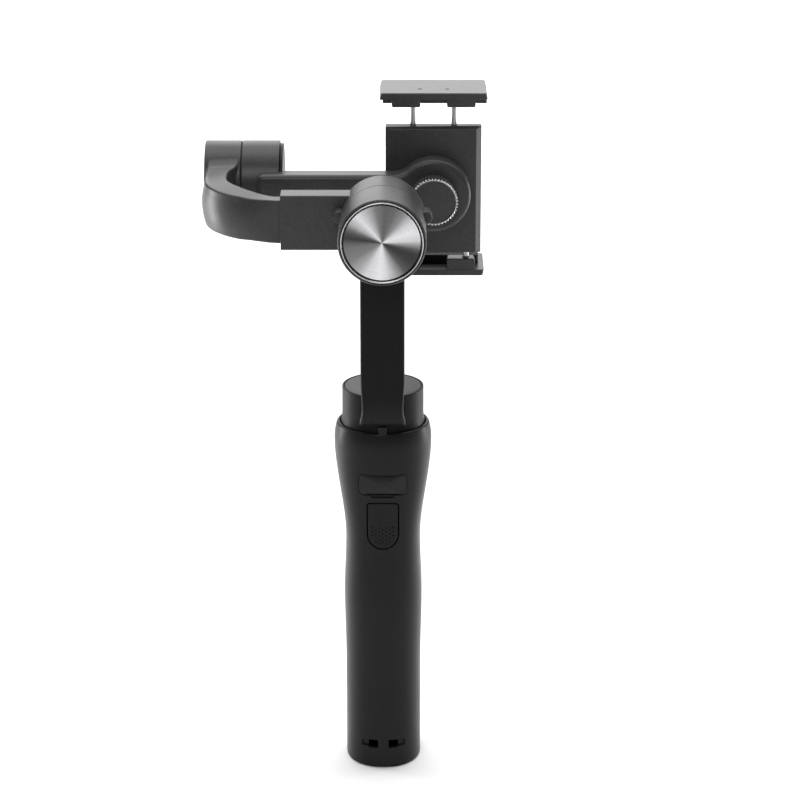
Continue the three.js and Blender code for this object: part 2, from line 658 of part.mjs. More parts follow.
// Both jaws are a plate with two feet for the rods and a lip that hooks round the phone.
function jaw({ outside, inside, footEnd, lipEnd, outsideHalfWidth, insideHalfWidth, footInner, footOuter }) {
  const span = (a, b) => [Math.min(a, b), Math.max(a, b)];
  const [left, right] = [BOSS.x - insideHalfWidth, BOSS.x + insideHalfWidth];
  const slope = insideHalfWidth - outsideHalfWidth;
  const ends = [[left, inside], [right, inside], [right - slope, outside], [left + slope, outside]];
  const plate = prism("z", roundedRectangle(left, right, JAW.front, JAW.back, 1.5), ...span(outside, inside))
    .intersect(prism("y", polygon(outside > inside ? ends : ends.reverse()), JAW.front - 1, JAW.back + 1));
  const feet = JAW_SIDES.map((sign) => {
    const reach = span(BOSS.x + sign * footInner, BOSS.x + sign * footOuter);
    return prism("z", roundedRectangle(...reach, JAW.front + 0.2, 57.6, 1), ...span(outside, footEnd));
  });
  const lip = block([left + 3, right - 3], [JAW.back - 3, JAW.back], span(outside, lipEnd));
  return join(plate, ...feet, lip);
}

const PLATE_RECESS = { halfWidth: 21.4, front: 52, back: 76.8, depth: 0.9 };
const ROD_SEAT = 0.6; // metal left between a rod's end and the jaw's outside

function upperJaw() {
  const { halfWidth, front, back, depth } = PLATE_RECESS;
  const tie = block([BOSS.x - 22, BOSS.x + 23], [53, 54.8], [UPPER.inside - 1.9, UPPER.inside + 0.5]);
  return cut(
    join(jaw(UPPER), tie),
    block([BOSS.x - halfWidth, BOSS.x + halfWidth], [front, back],
      [UPPER.outside - depth, UPPER.outside + 1]),
    ...rodBores(UPPER_ROD, UPPER.footEnd - 1, UPPER.inside),
  );
}

function upperJawPlate() {
  const { halfWidth, front, back, depth } = PLATE_RECESS;
  const reach = halfWidth - GAP;
  const slots = JAW_SIDES.map((sign) => {
    const x = BOSS.x + 5.9 * sign;
    return block([x - 0.9, x + 0.9], [58, 59.5], [UPPER.outside - 2, UPPER.outside + 2]);
  });
  return cut(
    block([BOSS.x - reach, BOSS.x + reach], [front + GAP, back - GAP],
      [UPPER.outside - depth + GAP, UPPER.outside + 0.1]),
    ...slots,
  );
}

const lowerJaw = () => cut(
  jaw(LOWER),
  ...rodBores(LOWER_ROD, LOWER.outside + ROD_SEAT, LOWER.footEnd + 1),
);

const PAD = { halfWidth: 20, front: 60.4, back: 74.6 };

const jawPad = (from, to) =>
  prism("z", roundedRectangle(BOSS.x - PAD.halfWidth, BOSS.x + PAD.halfWidth, PAD.front, PAD.back, 1.5), from, to);

const clampBackPlate = () => block(
  [BOSS.x - CLAMP.halfWidth + 1.2, BOSS.x + CLAMP.halfWidth - 1.2],
  [CLAMP.back + GAP, CLAMP.back + 1.8],
  [CLAMP.bottom + 1, CLAMP.top - 1],
);

const clampBackPad = () => block(
  [BOSS.x - 17, BOSS.x + 17],
  [CLAMP.back + 2.1, CLAMP.back + 3.1],
  [CLAMP.bottom + 5.3, CLAMP.top - 5.3],
);

// ---------------------------------------------------------------- assembly

piece("handle_rear_shell", rearShell(), shellBlack);
piece("handle_front_shell", frontShell(), shellBlack);
piece("base_cap", baseCap(), shellBlack);
piece("tripod_bushing", tripodBushing(), steel);
piece("battery_cell", batteryCell(), cellWrap);
piece("main_board", mainBoard(), boardGreen);
piece("trigger_switch", triggerSwitch(), controlBlack);
piece("charge_socket", usbSocket(-1), steel);
piece("power_out_socket", usbSocket(1), steel);
piece("control_panel", controlPanel(), panelGloss);
piece("status_window", statusWindow(), lampWhite);
piece("pan_stator", stator("z", PAN_AXIS, { radius: 16, from: 137, to: 140 },
  { radius: 13.6, from: 151, to: 163 }), copper);

piece("trigger", trigger(), controlBlack);
piece("port_cover", portCover(), rubberBlack);
piece("joystick_cradle", joystickCradle(), controlBlack);
piece("joystick_cap", joystickCap(), rubberBlack);
piece("record_button", roundButton(RECORD.z, RECORD.radius, 20.3), controlBlack);
piece("mode_button", roundButton(MODE.z, MODE.radius, 20.2), controlBlack);
piece("zoom_rocker", zoomRocker(), controlBlack);

piece("pan_housing", panHousing(), armBlack);
piece("pan_top_cap", rod("z", PAN_AXIS, 16.3, 168.9, 170.9, ROUND, 0.2), capGrey);
piece("pan_magnet_ring", ring("z", PAN_AXIS, 15.4 - MAGNET_THICKNESS, 15.4, 150.9, 163.5, 24), steel);
piece("pan_shaft", shaft("z", PAN_AXIS, 138, 165.5, 164.2, 166.2), steel);
piece("vertical_arm", verticalArm(), armBlack);
piece("roll_motor_case", rollMotorCase(), satinGrey);
piece("roll_trim_ring", rollTrimRing(), polishedTrim);
piece("roll_disc", rollDisc(), brushedDisc);
piece("roll_motor_board", rod("y", ROLL_AXIS, 13.5, -34, -32.4, 24), boardGreen);
piece("roll_stator", stator("y", ROLL_AXIS, { radius: 16.5, from: -24, to: -22 },
  { radius: 13.6, from: -15.5, to: -4.8 }), copper);

piece("roll_housing", rollHousing(), satinGrey);
piece("roll_back_cover", rod("y", ROLL_AXIS, 14.5, -0.9, 0.3, ROUND, 0.2), controlBlack);
piece("roll_magnet_ring", ring("y", ROLL_AXIS, 15.4 - MAGNET_THICKNESS, 15.4, -16.4, -3.6, 24), steel);
piece("roll_shaft", shaft("y", ROLL_AXIS, -21.7, -3.8, -4.4, -3.3), steel);
piece("arm_lock_screw", armLockScrew(), controlBlack);

piece("roll_arm", rollArm(), satinGrey);
piece("tilt_end_cap", rod("x", TILT_AXIS, 14.6, TILT.left, -75.4, ROUND, 0.3), controlBlack);
piece("tilt_stator", stator("x", TILT_AXIS, { radius: 14.6, from: -73.8, to: -71.8 },
  { radius: 12.6, from: -59.8, to: -49.6 }), copper);

piece("tilt_housing", tiltHousing(), satinGrey);
piece("tilt_flange", tiltFlange(), controlBlack);
piece("tilt_magnet_ring", ring("x", TILT_AXIS, 14.4 - MAGNET_THICKNESS, 14.4, -60.6, -48.6, 24), steel);
piece("tilt_shaft", shaft("x", TILT_AXIS, -71.5, -48.8, -49.2, -48.3), steel);
piece("tilt_arm", tiltArm(), satinGrey);

piece("clamp_knob", clampKnob(), satinGrey);
piece("clamp_pivot", clampPivot(), steel);
piece("clamp_front_cover", clampCover(), satinGrey);
piece("clamp_back_plate", clampBackPlate(), controlBlack);
piece("clamp_back_pad", clampBackPad(), rubberBlack);

piece("upper_jaw", upperJaw(), satinGrey);
piece("upper_jaw_plate", upperJawPlate(), jawPlateGrey);
piece("upper_jaw_pad", jawPad(OPENING.top, UPPER.inside - GAP), rubberBlack);
piece("lower_jaw", lowerJaw(), satinGrey);
piece("lower_jaw_pad", jawPad(LOWER.inside + GAP, OPENING.bottom), rubberBlack);
const UPPER_COLLAR_Z = 226;
const LOWER_COLLAR_Z = 262;
const springTop = CLAMP.top - CLAMP_WALL - GAP;
const springBottom = CLAMP.bottom + CLAMP_WALL + GAP;
for (const [side, sign] of [["left", -1], ["right", 1]]) {
  piece(`upper_rod_${side}`,
    jawRod(UPPER_ROD, sign, UPPER_COLLAR_Z, UPPER.inside - GAP, UPPER_COLLAR_Z), steel);
  piece(`lower_rod_${side}`,
    jawRod(LOWER_ROD, sign, LOWER.outside + ROD_SEAT + GAP, LOWER_COLLAR_Z + COLLAR.length, LOWER_COLLAR_Z), steel);
  piece(`upper_spring_${side}`,
    jawSpring(UPPER_ROD, sign, UPPER_COLLAR_Z + COLLAR.length + GAP, springTop), steel);
  piece(`lower_spring_${side}`,
    jawSpring(LOWER_ROD, sign, springBottom, LOWER_COLLAR_Z - GAP), steel);
}

export default stabilizer;
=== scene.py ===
"""The looks of a three-axis phone gimbal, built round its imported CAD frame.

Lengths are in millimetres in the CAD's own axes: +Z up the handle, -Y the side of the disc
and the trigger, +X the side of the phone clamp. publish() turns a finished piece to metres.
"""

import json
import math

import bpy
from mathutils import Matrix, Vector


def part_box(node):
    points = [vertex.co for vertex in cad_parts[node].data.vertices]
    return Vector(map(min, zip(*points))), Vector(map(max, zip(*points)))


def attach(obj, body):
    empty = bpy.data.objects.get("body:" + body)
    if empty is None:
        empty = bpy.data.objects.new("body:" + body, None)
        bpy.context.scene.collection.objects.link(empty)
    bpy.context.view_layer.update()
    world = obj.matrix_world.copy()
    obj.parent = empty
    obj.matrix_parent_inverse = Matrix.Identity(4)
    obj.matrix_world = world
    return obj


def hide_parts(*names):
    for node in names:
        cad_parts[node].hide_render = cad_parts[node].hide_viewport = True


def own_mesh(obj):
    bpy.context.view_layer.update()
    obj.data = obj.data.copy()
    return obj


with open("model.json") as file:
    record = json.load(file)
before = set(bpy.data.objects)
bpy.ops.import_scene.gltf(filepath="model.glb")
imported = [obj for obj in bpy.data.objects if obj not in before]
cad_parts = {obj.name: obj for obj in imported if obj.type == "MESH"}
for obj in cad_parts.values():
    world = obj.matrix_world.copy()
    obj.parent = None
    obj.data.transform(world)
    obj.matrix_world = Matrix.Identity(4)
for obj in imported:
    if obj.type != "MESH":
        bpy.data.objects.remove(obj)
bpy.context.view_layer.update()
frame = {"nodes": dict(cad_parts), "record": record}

MM = 0.001
FINE = 160  # sides of a large turned piece
MEDIUM = 64
SMALL = 32
GAP = 0.3

record = frame["record"]
NODE_BODY = {n: body for body, nodes in record["behaviour"]["bodies"].items() for n in nodes}
NODE_SLOT = {part["node"]: part["material_slot"] for part in record["subparts"]}


class Span:
    """A CAD node's box in millimetres."""

    def __init__(self, node):
        low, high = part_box(node)
        self.low = low / MM
        self.high = high / MM
        self.centre = (self.low + self.high) / 2
        self.size = self.high - self.low


# ------------------------------------------------------------------ outlines


def arc(centre, radius, start, end, steps=12):
    """Points on an arc, angles in degrees."""
    points = []
    for i in range(steps + 1):
        angle = math.radians(start + (end - start) * i / steps)
        points.append((centre[0] + radius * math.cos(angle), centre[1] + radius * math.sin(angle)))
    return points


def bezier(a, b, c, d, steps=24):
    points = []
    for i in range(steps + 1):
        t = i / steps
        weights = ((1 - t) ** 3, 3 * t * (1 - t) ** 2, 3 * t * t * (1 - t), t**3)
        points.append(tuple(sum(w * p[k] for w, p in zip(weights, (a, b, c, d))) for k in (0, 1)))
    return points


def without_repeats(points, nearest=1e-4):
    kept = []
    for point in points:
        if not kept or math.dist(point, kept[-1]) > nearest:
            kept.append(point)
    if math.dist(kept[0], kept[-1]) <= nearest:
        kept.pop()
    return kept


def rounded_box(left, right, bottom, top, radius, steps=8):
    return without_repeats(
        arc((right - radius, bottom + radius), radius, -90, 0, steps)
        + arc((right - radius, top - radius), radius, 0, 90, steps)
        + arc((left + radius, top - radius), radius, 90, 180, steps)
        + arc((left + radius, bottom + radius), radius, 180, 270, steps)
    )


def signed_area(outline):
    total = 0
    for i, (u, v) in enumerate(outline):
        u2, v2 = outline[(i + 1) % len(outline)]
        total += u * v2 - u2 * v
    return total / 2


def inset(outline, distance):
    """The outline moved inwards by distance; the outline runs anticlockwise."""
    count = len(outline)
    moved = []
    for i in range(count):
        here = Vector(outline[i])
        back = (here - Vector(outline[i - 1])).normalized()
        ahead = (Vector(outline[(i + 1) % count]) - here).normalized()
        normals = Vector((-back.y, back.x)), Vector((-ahead.y, ahead.x))
        middle = (normals[0] + normals[1]).normalized()
        reach = distance / max(0.35, middle.dot(normals[0]))
        moved.append(tuple(here + middle * reach))
    return moved


def soften(points, radius, closed=True, steps=4):
    """Rounds each sharp corner of a line of points. A third number gives a corner its own radius."""
    count = len(points)
    out = []
    for i, corner in enumerate(points):
        here = Vector(corner[:2])
        size = corner[2] if len(corner) > 2 else radius
        if (not closed and i in (0, count - 1)) or size == 0:
            out.append(tuple(here))
            continue
        before = Vector(points[i - 1][:2]) - here
        after = Vector(points[(i + 1) % count][:2]) - here
        angle = before.angle(after)
        if angle > math.radians(165):
            out.append(tuple(here))
            continue
        run = min(size / math.tan(angle / 2), 0.48 * before.length, 0.48 * after.length)
        start = here + before.normalized() * run
        end = here + after.normalized() * run
        for k in range(steps + 1):
            t = k / steps
            out.append(tuple(start * (1 - t) ** 2 + here * 2 * t * (1 - t) + end * t * t))
    return out


# ------------------------------------------------------------------ meshes


def make(name, vertices, faces):
    mesh = bpy.data.meshes.new(name)
    mesh.from_pydata([tuple(v) for v in vertices], [], faces)
    mesh.validate()
    mesh.update()
    obj = bpy.data.objects.new(name, mesh)
    bpy.context.scene.collection.objects.link(obj)
    return obj


def bake(obj):
    """Applies the modifiers of obj to its mesh."""
    graph = bpy.context.evaluated_depsgraph_get()
    mesh = bpy.data.meshes.new_from_object(obj.evaluated_get(graph))
    obj.modifiers.clear()
    old = obj.data
    obj.data = mesh
    bpy.data.meshes.remove(old)
    return obj


def onto(axis, u, v, along):
    """A point of a plane outline pushed along an axis, as the CAD's prisms are."""
    return {"x": (along, u, v), "y": (u, along, v), "z": (u, v, along)}[axis]


def stack(name, rings, looped=False, start_pole=None, end_pole=None):
    """A closed skin over rings with the same number of points, its ends closed by poles or caps."""
    count = len(rings[0])
    vertices = [point for ring in rings for point in ring]
    faces = []
    levels = len(rings)
    for level in range(levels if looped else levels - 1):
        a = level * count
        b = ((level + 1) % levels) * count
        for i in range(count):
            j = (i + 1) % count
            faces.append((a + i, a + j, b + j, b + i))
    if not looped:
        for pole, base, flip in ((start_pole, 0, True), (end_pole, (levels - 1) * count, False)):
            loop = [base + i for i in range(count)]
            if flip:
                loop.reverse()
            if pole is None:
                faces.append(tuple(loop))
                continue
            tip = len(vertices)
            vertices.append(pole)
            faces.extend((loop[i], loop[(i + 1) % count], tip) for i in range(count))
    obj = make(name, vertices, faces)
    return facing_out(obj)


def facing_out(obj):
    """Turns a closed mesh's faces outwards where its volume comes out negative."""
    mesh = obj.data
    mesh.calc_loop_triangles()
    volume = 0
    for triangle in mesh.loop_triangles:
        a, b, c = (mesh.vertices[i].co for i in triangle.vertices)
        volume += a.dot(b.cross(c))
    if volume < 0:
        mesh.flip_normals()
    return obj


def turned(name, axis, centre, profile, sides=FINE, shape=None):
    """A profile of (radius, distance along) turned about an axis through centre.

    Radius 0 at both ends makes poles; otherwise the profile closes on itself. shape(angle, r)
    may change the radius round the axis, as flutes do.
    """
    poles = profile[0][0] == 0 and profile[-1][0] == 0
    body = profile[1:-1] if poles else profile
    centre_uv = {"x": (centre[1], centre[2]), "y": (centre[0], centre[2]), "z": (centre[0], centre[1])}
    u0, v0 = centre_uv[axis]
    rings = []
    for radius, along in body:
        ring = []
        for i in range(sides):
            angle = 2 * math.pi * i / sides
            r = shape(angle, radius) if shape else radius
            ring.append(onto(axis, u0 + r * math.cos(angle), v0 + r * math.sin(angle), along))
        rings.append(ring)
    if not poles:
        return stack(name, rings, looped=True)
    tips = [onto(axis, u0, v0, profile[k][1]) for k in (0, -1)]
    return stack(name, rings, start_pole=tips[0], end_pole=tips[1])


def disc_profile(radius, start, end, edge, steps=4):
    corners = [(0, start), (radius, start), (radius, end), (0, end)]
    return soften(corners, edge, closed=False, steps=steps)


def tube_profile(inner, outer, start, end, edge, steps=4):
    return soften([(inner, start), (outer, start), (outer, end), (inner, end)], edge, steps=steps)


def pushed(name, axis, outline, start, end, edge=0.0, end_edge=None, steps=4):
    """An outline pushed along an axis, its two rims rounded by edge and end_edge."""
    if signed_area(outline) < 0:
        outline = outline[::-1]
    first = edge
    last = edge if end_edge is None else end_edge
    levels = []
    for k in range(steps + 1 if first else 1):
        angle = math.pi / 2 * k / steps
        levels.append((first * (1 - math.sin(angle)), start + first * (1 - math.cos(angle))))
    for k in range(steps + 1 if last else 1):
        angle = math.pi / 2 * (1 - k / steps)
        levels.append((last * (1 - math.sin(angle)), end - last * (1 - math.cos(angle))))
    rings = []
    for distance, along in levels:
        line = inset(outline, distance) if distance else outline
        rings.append([onto(axis, u, v, along) for u, v in line])
    return stack(name, rings)


def brick(name, x, y, z, edge=0.0, corner=0.4):
    """A block with rounded upright corners and rounded rims."""
    outline = rounded_box(x[0], x[1], y[0], y[1], corner, 4) if corner else [
        (x[0], y[0]), (x[1], y[0]), (x[1], y[1]), (x[0], y[1])]
    return pushed(name, "z", outline, z[0], z[1], edge)


def combine(target, operation, others):
    for other in others:
        change = target.modifiers.new("solid", "BOOLEAN")
        change.operation = operation
        change.solver = "MANIFOLD"
        change.object = other
        bake(target)
        bpy.data.objects.remove(other)
    return target


def cut(target, *others):
    return combine(target, "DIFFERENCE", others)


def weld(target, *others):
    return combine(target, "UNION", others)


def common(target, *others):
    return combine(target, "INTERSECT", others)


def gather(name, pieces):
    """Several closed solids as one mesh, for rows of small things that are never seen apart."""
    vertices = []
    faces = []
    for piece in pieces:
        start = len(vertices)
        vertices.extend(v.co[:] for v in piece.data.vertices)
        faces.extend(tuple(start + i for i in p.vertices) for p in piece.data.polygons)
        bpy.data.objects.remove(piece)
    return make(name, vertices, faces)


def soft_rims(obj, width, angle=40, steps=3):
    """Rounds the sharp edges that a cut has left."""
    change = obj.modifiers.new("rims", "BEVEL")
    change.width = width
    change.segments = steps
    change.limit_method = "ANGLE"
    change.angle_limit = math.radians(angle)
    change.use_clamp_overlap = True
    return bake(obj)


def publish(obj, node=None, like=None, slot=None, angle=32):
    """Finishes a piece: metres, shading, the material of its slot, and body. node is the CAD node it
    replaces, like a node on the same body where it is an extra."""
    home = node or like
    slot = slot or NODE_SLOT[home]
    obj.data.transform(Matrix.Scale(MM, 4))
    for polygon in obj.data.polygons:
        polygon.use_smooth = True
    obj.data.set_sharp_from_angle(angle=math.radians(angle))
    weighted = obj.modifiers.new("normals", "WEIGHTED_NORMAL")
    weighted.keep_sharp = True
    bake(obj)
    obj.data.materials.clear()
    obj.data.materials.append(MATERIALS[slot])
    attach(obj, NODE_BODY[home])
    if node:
        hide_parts(node)
    return obj


# ------------------------------------------------------------------ materials


class Nodes:
    """A short way to write a material's node tree."""

    def __init__(self, name):
        self.material = bpy.data.materials.new(name)
        self.material.use_nodes = True
        self.tree = self.material.node_tree
        self.shader = self.tree.nodes["Principled BSDF"]
        self.place = self.add("ShaderNodeTexCoord").outputs["Object"]

    def add(self, kind, **settings):
        node = self.tree.nodes.new(kind)
        for key, value in settings.items():
            setattr(node, key, value)
        return node

    def link(self, source, target):
        self.tree.links.new(source, target)

    def noise(self, scale, detail=3.0, roughness=0.55, place=None, stretch=None):
        node = self.add("ShaderNodeTexNoise")
        node.inputs["Scale"].default_value = scale
        node.inputs["Detail"].default_value = detail
        node.inputs["Roughness"].default_value = roughness
        source = place or self.place
        if stretch:
            mapping = self.add("ShaderNodeMapping")
            mapping.inputs["Scale"].default_value = stretch
            self.link(source, mapping.inputs["Vector"])
            source = mapping.outputs["Vector"]
        self.link(source, node.inputs["Vector"])
        return node.outputs["Fac"]

    def spread(self, source, low, high, from_low=0.3, from_high=0.7):
        """Maps a 0 to 1 value onto low to high."""
        node = self.add("ShaderNodeMapRange")
        node.inputs["From Min"].default_value = from_low
        node.inputs["From Max"].default_value = from_high
        node.inputs["To Min"].default_value = low
        node.inputs["To Max"].default_value = high
        self.link(source, node.inputs["Value"])
        return node.outputs["Result"]

    def ramp(self, source, stops):
        node = self.add("ShaderNodeValToRGB")
        elements = node.color_ramp.elements
        while len(elements) < len(stops):
            elements.new(0.5)
        for element, (position, colour) in zip(elements, stops):
            element.position = position
            element.color = (*colour, 1)
        self.link(source, node.inputs["Fac"])
        return node.outputs["Color"]

    def mix(self, fac, first, second):
        node = self.add("ShaderNodeMix", data_type="RGBA")
        for socket, value in (("Factor", fac), ("A", first), ("B", second)):
            target = [s for s in node.inputs if s.name == socket and s.enabled][0]
            if isinstance(value, (int, float)):
                target.default_value = value
            elif isinstance(value, tuple):
                target.default_value = (*value, 1)
            else:
                self.link(value, target)
        return [s for s in node.outputs if s.enabled][0]

    def bump(self, height, strength, distance):
        node = self.add("ShaderNodeBump")
        node.inputs["Strength"].default_value = strength
        node.inputs["Distance"].default_value = distance
        self.link(height, node.inputs["Height"])
        self.link(node.outputs["Normal"], self.shader.inputs["Normal"])

    def set(self, **values):
        names = {
            "metallic": "Metallic",
            "roughness": "Roughness",
            "specular": "Specular IOR Level",
            "coat": "Coat Weight",
            "coat_roughness": "Coat Roughness",
            "anisotropic": "Anisotropic",
            "sheen": "Sheen Weight",
        }
        for key, value in values.items():
            self.shader.inputs[names[key]].default_value = value

    def colour(self, source):
        self.link(source, self.shader.inputs["Base Color"])

    def rough(self, source):
        self.link(source, self.shader.inputs["Roughness"])


def grey(value):
    return (value, value, value * 1.02)


def moulded(name, shade, roughness, grain=0.00004, grain_scale=2600, metallic=0.0, specular=0.2):
    """Spark-textured moulded plastic or satin paint: fine grain, slow shade and gloss changes."""
    look = Nodes(name)
    slow = look.noise(38, 2.0)
    fine = look.noise(grain_scale, 2.0, 0.6)
    speck = look.noise(grain_scale * 0.45, 1.0)
    look.colour(look.mix(look.spread(speck, 0, 1, 0.35, 0.65),
                         look.ramp(slow, ((0.3, grey(shade * 0.86)), (0.7, grey(shade)))),
                         look.ramp(slow, ((0.3, grey(shade)), (0.7, grey(shade * 1.2))))))
    look.rough(look.spread(slow, roughness - 0.035, roughness + 0.035))
    look.set(metallic=metallic, specular=specular)
    look.bump(fine, 0.55, grain)
    return look.material


def rubber(name, shade):
    look = Nodes(name)
    slow = look.noise(55, 3.0)
    fine = look.noise(1700, 4.0, 0.7)
    look.colour(look.ramp(slow, ((0.3, grey(shade * 0.8)), (0.7, grey(shade * 1.35)))))
    look.rough(look.spread(fine, 0.66, 0.86))
    look.set(specular=0.32, sheen=0.06)
    look.bump(fine, 0.7, 0.00008)
    return look.material


def gloss(name, shade):
    look = Nodes(name)
    smear = look.noise(70, 4.0, 0.65)
    look.colour(look.ramp(smear, ((0.3, grey(shade)), (0.7, grey(shade * 1.4)))))
    look.rough(look.spread(smear, 0.08, 0.2))
    look.set(coat=0.5, coat_roughness=0.05)
    look.bump(look.noise(400, 1.0), 0.2, 0.00001)
    return look.material


def ground_metal(name, shade, along=(1, 1, 0.04), roughness=0.26, tint=(1, 1, 1)):
    """Steel ground along one direction, so its scratches are long that way."""
    look = Nodes(name)
    streaks = look.noise(2200, 3.0, 0.6, stretch=along)
    slow = look.noise(60, 2.0)
    low = tuple(shade * 0.8 * t for t in tint)
    high = tuple(shade * 1.1 * t for t in tint)
    look.colour(look.ramp(streaks, ((0.3, low), (0.7, high))))
    look.rough(look.spread(slow, roughness - 0.05, roughness + 0.07))
    look.set(metallic=1.0, anisotropic=0.4)
    look.bump(streaks, 0.35, 0.00001)
    return look.material


def spun_disc_painted_sheen(name):
    """A disc faced on a lathe: rings of fine scratches round its centre, and bright and dark sectors that are
    painted highlights and painted shade, the wedges of reflected light a spun disc shows.
    """
    look = Nodes(name)
    centre = Span("roll_disc").centre * MM
    shift = look.add("ShaderNodeVectorMath", operation="SUBTRACT")
    look.link(look.place, shift.inputs[0])
    shift.inputs[1].default_value = centre
    parts = look.add("ShaderNodeSeparateXYZ")
    look.link(shift.outputs["Vector"], parts.inputs["Vector"])

    def operate(kind, first, second=None):
        node = look.add("ShaderNodeMath", operation=kind)
        for socket, value in zip(node.inputs, (first, second)):
            if value is None:
                continue
            if isinstance(value, (int, float)):
                socket.default_value = value
            else:
                look.link(value, socket)
        return node.outputs["Value"]

    across, up = parts.outputs["X"], parts.outputs["Z"]
    angle = operate("ARCTAN2", up, across)
    radius = operate("SQRT", operate("ADD", operate("MULTIPLY", across, across),
                                     operate("MULTIPLY", up, up)))
    ring_place = look.add("ShaderNodeCombineXYZ")
    look.link(operate("MULTIPLY", radius, 9500.0), ring_place.inputs["X"])
    look.link(operate("MULTIPLY", operate("COSINE", angle), 1.6), ring_place.inputs["Y"])
    look.link(operate("MULTIPLY", operate("SINE", angle), 1.6), ring_place.inputs["Z"])
    scratches = look.noise(1.0, 3.0, 0.65, place=ring_place.outputs["Vector"])

    # Painted highlight and painted shade sectors, the spun disc's reflection wedges, anticlockwise from the
    # left: degrees and shade.
    painted_highlight_sectors = ((-180, 0.14), (-172, 0.21), (-150, 0.26), (-132, 0.46), (-116, 0.80), (-95, 0.95), (-84, 0.86),
               (-68, 0.44), (-52, 0.12), (-36, 0.06), (-20, 0.055), (-12, 0.12), (-4, 0.38), (4, 0.80),
               (20, 0.98), (36, 0.78), (52, 0.34), (68, 0.19), (84, 0.15), (100, 0.25), (116, 0.60),
               (132, 0.92), (148, 0.50), (156, 0.19), (164, 0.085), (172, 0.055), (180, 0.14))
    turn = operate("ADD", operate("MULTIPLY", angle, 0.5 / math.pi), 0.5)
    grain = look.spread(scratches, -0.006, 0.006, 0.3, 0.7)
    stops = [((degrees + 180) / 360, grey(shade)) for degrees, shade in painted_highlight_sectors]
    look.colour(look.mix(look.spread(scratches, 0, 1), look.ramp(operate("ADD", turn, grain), stops),
                         look.ramp(operate("SUBTRACT", turn, grain), [(p, tuple(c * 0.82 for c in shade))
                                                                      for p, shade in stops])))
    look.rough(look.spread(scratches, 0.30, 0.46))
    look.set(metallic=0.85)
    look.bump(scratches, 0.25, 0.00001)
    return look.material


def polished(name):
    look = Nodes(name)
    slow = look.noise(240, 2.0)
    look.colour(look.ramp(slow, ((0.3, grey(0.54)), (0.7, grey(0.66)))))
    look.rough(look.spread(slow, 0.24, 0.32))
    look.set(metallic=1.0)
    return look.material


def windings(name):
    look = Nodes(name)
    wave = look.add("ShaderNodeTexWave", wave_type="BANDS", bands_direction="DIAGONAL")
    wave.inputs["Scale"].default_value = 520
    wave.inputs["Distortion"].default_value = 1.5
    look.link(look.place, wave.inputs["Vector"])
    look.colour(look.ramp(wave.outputs["Fac"], ((0.2, (0.16, 0.035, 0.012)), (0.8, (0.62, 0.2, 0.07)))))
    look.rough(look.spread(wave.outputs["Fac"], 0.45, 0.25, 0, 1))
    look.set(metallic=0.9)
    look.bump(wave.outputs["Fac"], 0.8, 0.0002)
    return look.material


def circuit(name):
    look = Nodes(name)
    tracks = look.add("ShaderNodeTexBrick")
    tracks.inputs["Scale"].default_value = 260
    tracks.inputs["Mortar Size"].default_value = 0.06
    tracks.inputs["Color1"].default_value = (0.010, 0.075, 0.035, 1)
    tracks.inputs["Color2"].default_value = (0.008, 0.060, 0.028, 1)
    tracks.inputs["Mortar"].default_value = (0.03, 0.16, 0.07, 1)
    look.link(look.place, tracks.inputs["Vector"])
    look.colour(tracks.outputs["Color"])
    look.rough(look.spread(look.noise(300), 0.35, 0.5))
    look.bump(tracks.outputs["Fac"], 0.3, 0.00003)
    return look.material


def wrap(name):
    look = Nodes(name)
    crease = look.noise(180, 4.0, 0.6, stretch=(1, 1, 0.2))
    look.colour(look.ramp(crease, ((0.3, (0.04, 0.10, 0.21)), (0.7, (0.06, 0.15, 0.30)))))
    look.rough(look.spread(crease, 0.25, 0.42))
    look.set(coat=0.3)
    look.bump(crease, 0.3, 0.0001)
    return look.material


def lamp(name):
    look = Nodes(name)
    frost = look.noise(900, 2.0)
    look.colour(look.ramp(frost, ((0.3, (0.66, 0.71, 0.76)), (0.7, (0.80, 0.85, 0.90)))))
    look.rough(look.spread(frost, 0.25, 0.4))
    return look.material


MATERIALS = {
    "shell_plastic": moulded("shell_plastic", 0.0105, 0.34, specular=0.14),
    "control_plastic": moulded("control_plastic", 0.0090, 0.38, specular=0.14),
    "panel_gloss": gloss("panel_gloss", 0.006),
    "satin_grey": moulded("satin_grey", 0.048, 0.34, grain=0.00003, metallic=0.15),
    "arm_black": moulded("arm_black", 0.0060, 0.42, grain=0.00003, specular=0.12),
    "cap_grey": moulded("cap_grey", 0.035, 0.46, metallic=0.2),
    "brushed_disc": spun_disc_painted_sheen("brushed_disc"),
    "polished_trim": polished("polished_trim"),
    "jaw_plate_grey": moulded("jaw_plate_grey", 0.19, 0.46, grain=0.00002),
    "rubber_black": rubber("rubber_black", 0.012),
    "bright_steel": ground_metal("bright_steel", 0.45, roughness=0.34),
    "copper_windings": windings("copper_windings"),
    "circuit_board": circuit("circuit_board"),
    "cell_wrap": wrap("cell_wrap"),
    "lamp_white": lamp("lamp_white"),
}


# ------------------------------------------------------------------ handle form

HANDLE_TOP = 155.3
WAIST_Z = 103
SHOULDER_Z = 148
WALL = 2
MOTOR_BORE = 18.4
SEAM_Y = 6


def smoothstep(value, low, high):
    t = min(1, max(0, (value - low) / (high - low)))
    return t * t * (3 - 2 * t)


def half_width(z):
    if z > SHOULDER_Z:
        return 20.8 - 1.2 * ((z - SHOULDER_Z) / (HANDLE_TOP - SHOULDER_Z)) ** 2
    if z > WAIST_Z:
        return 16.05 + 4.75 * smoothstep(z, WAIST_Z, SHOULDER_Z)
    swell = 0.6 * smoothstep(z, 45, 77) * (1 - smoothstep(z, 77, WAIST_Z))
    return 16.2 + swell - 0.15 * smoothstep(z, 77, WAIST_Z)


def half_depth(z):
    return half_width(z) + 2.6 * (1 - smoothstep(z, 100, 146))


def squareness(z):
    return 2.2 + 0.3 * smoothstep(z, 60, 110) - 0.5 * smoothstep(z, 115, 146)


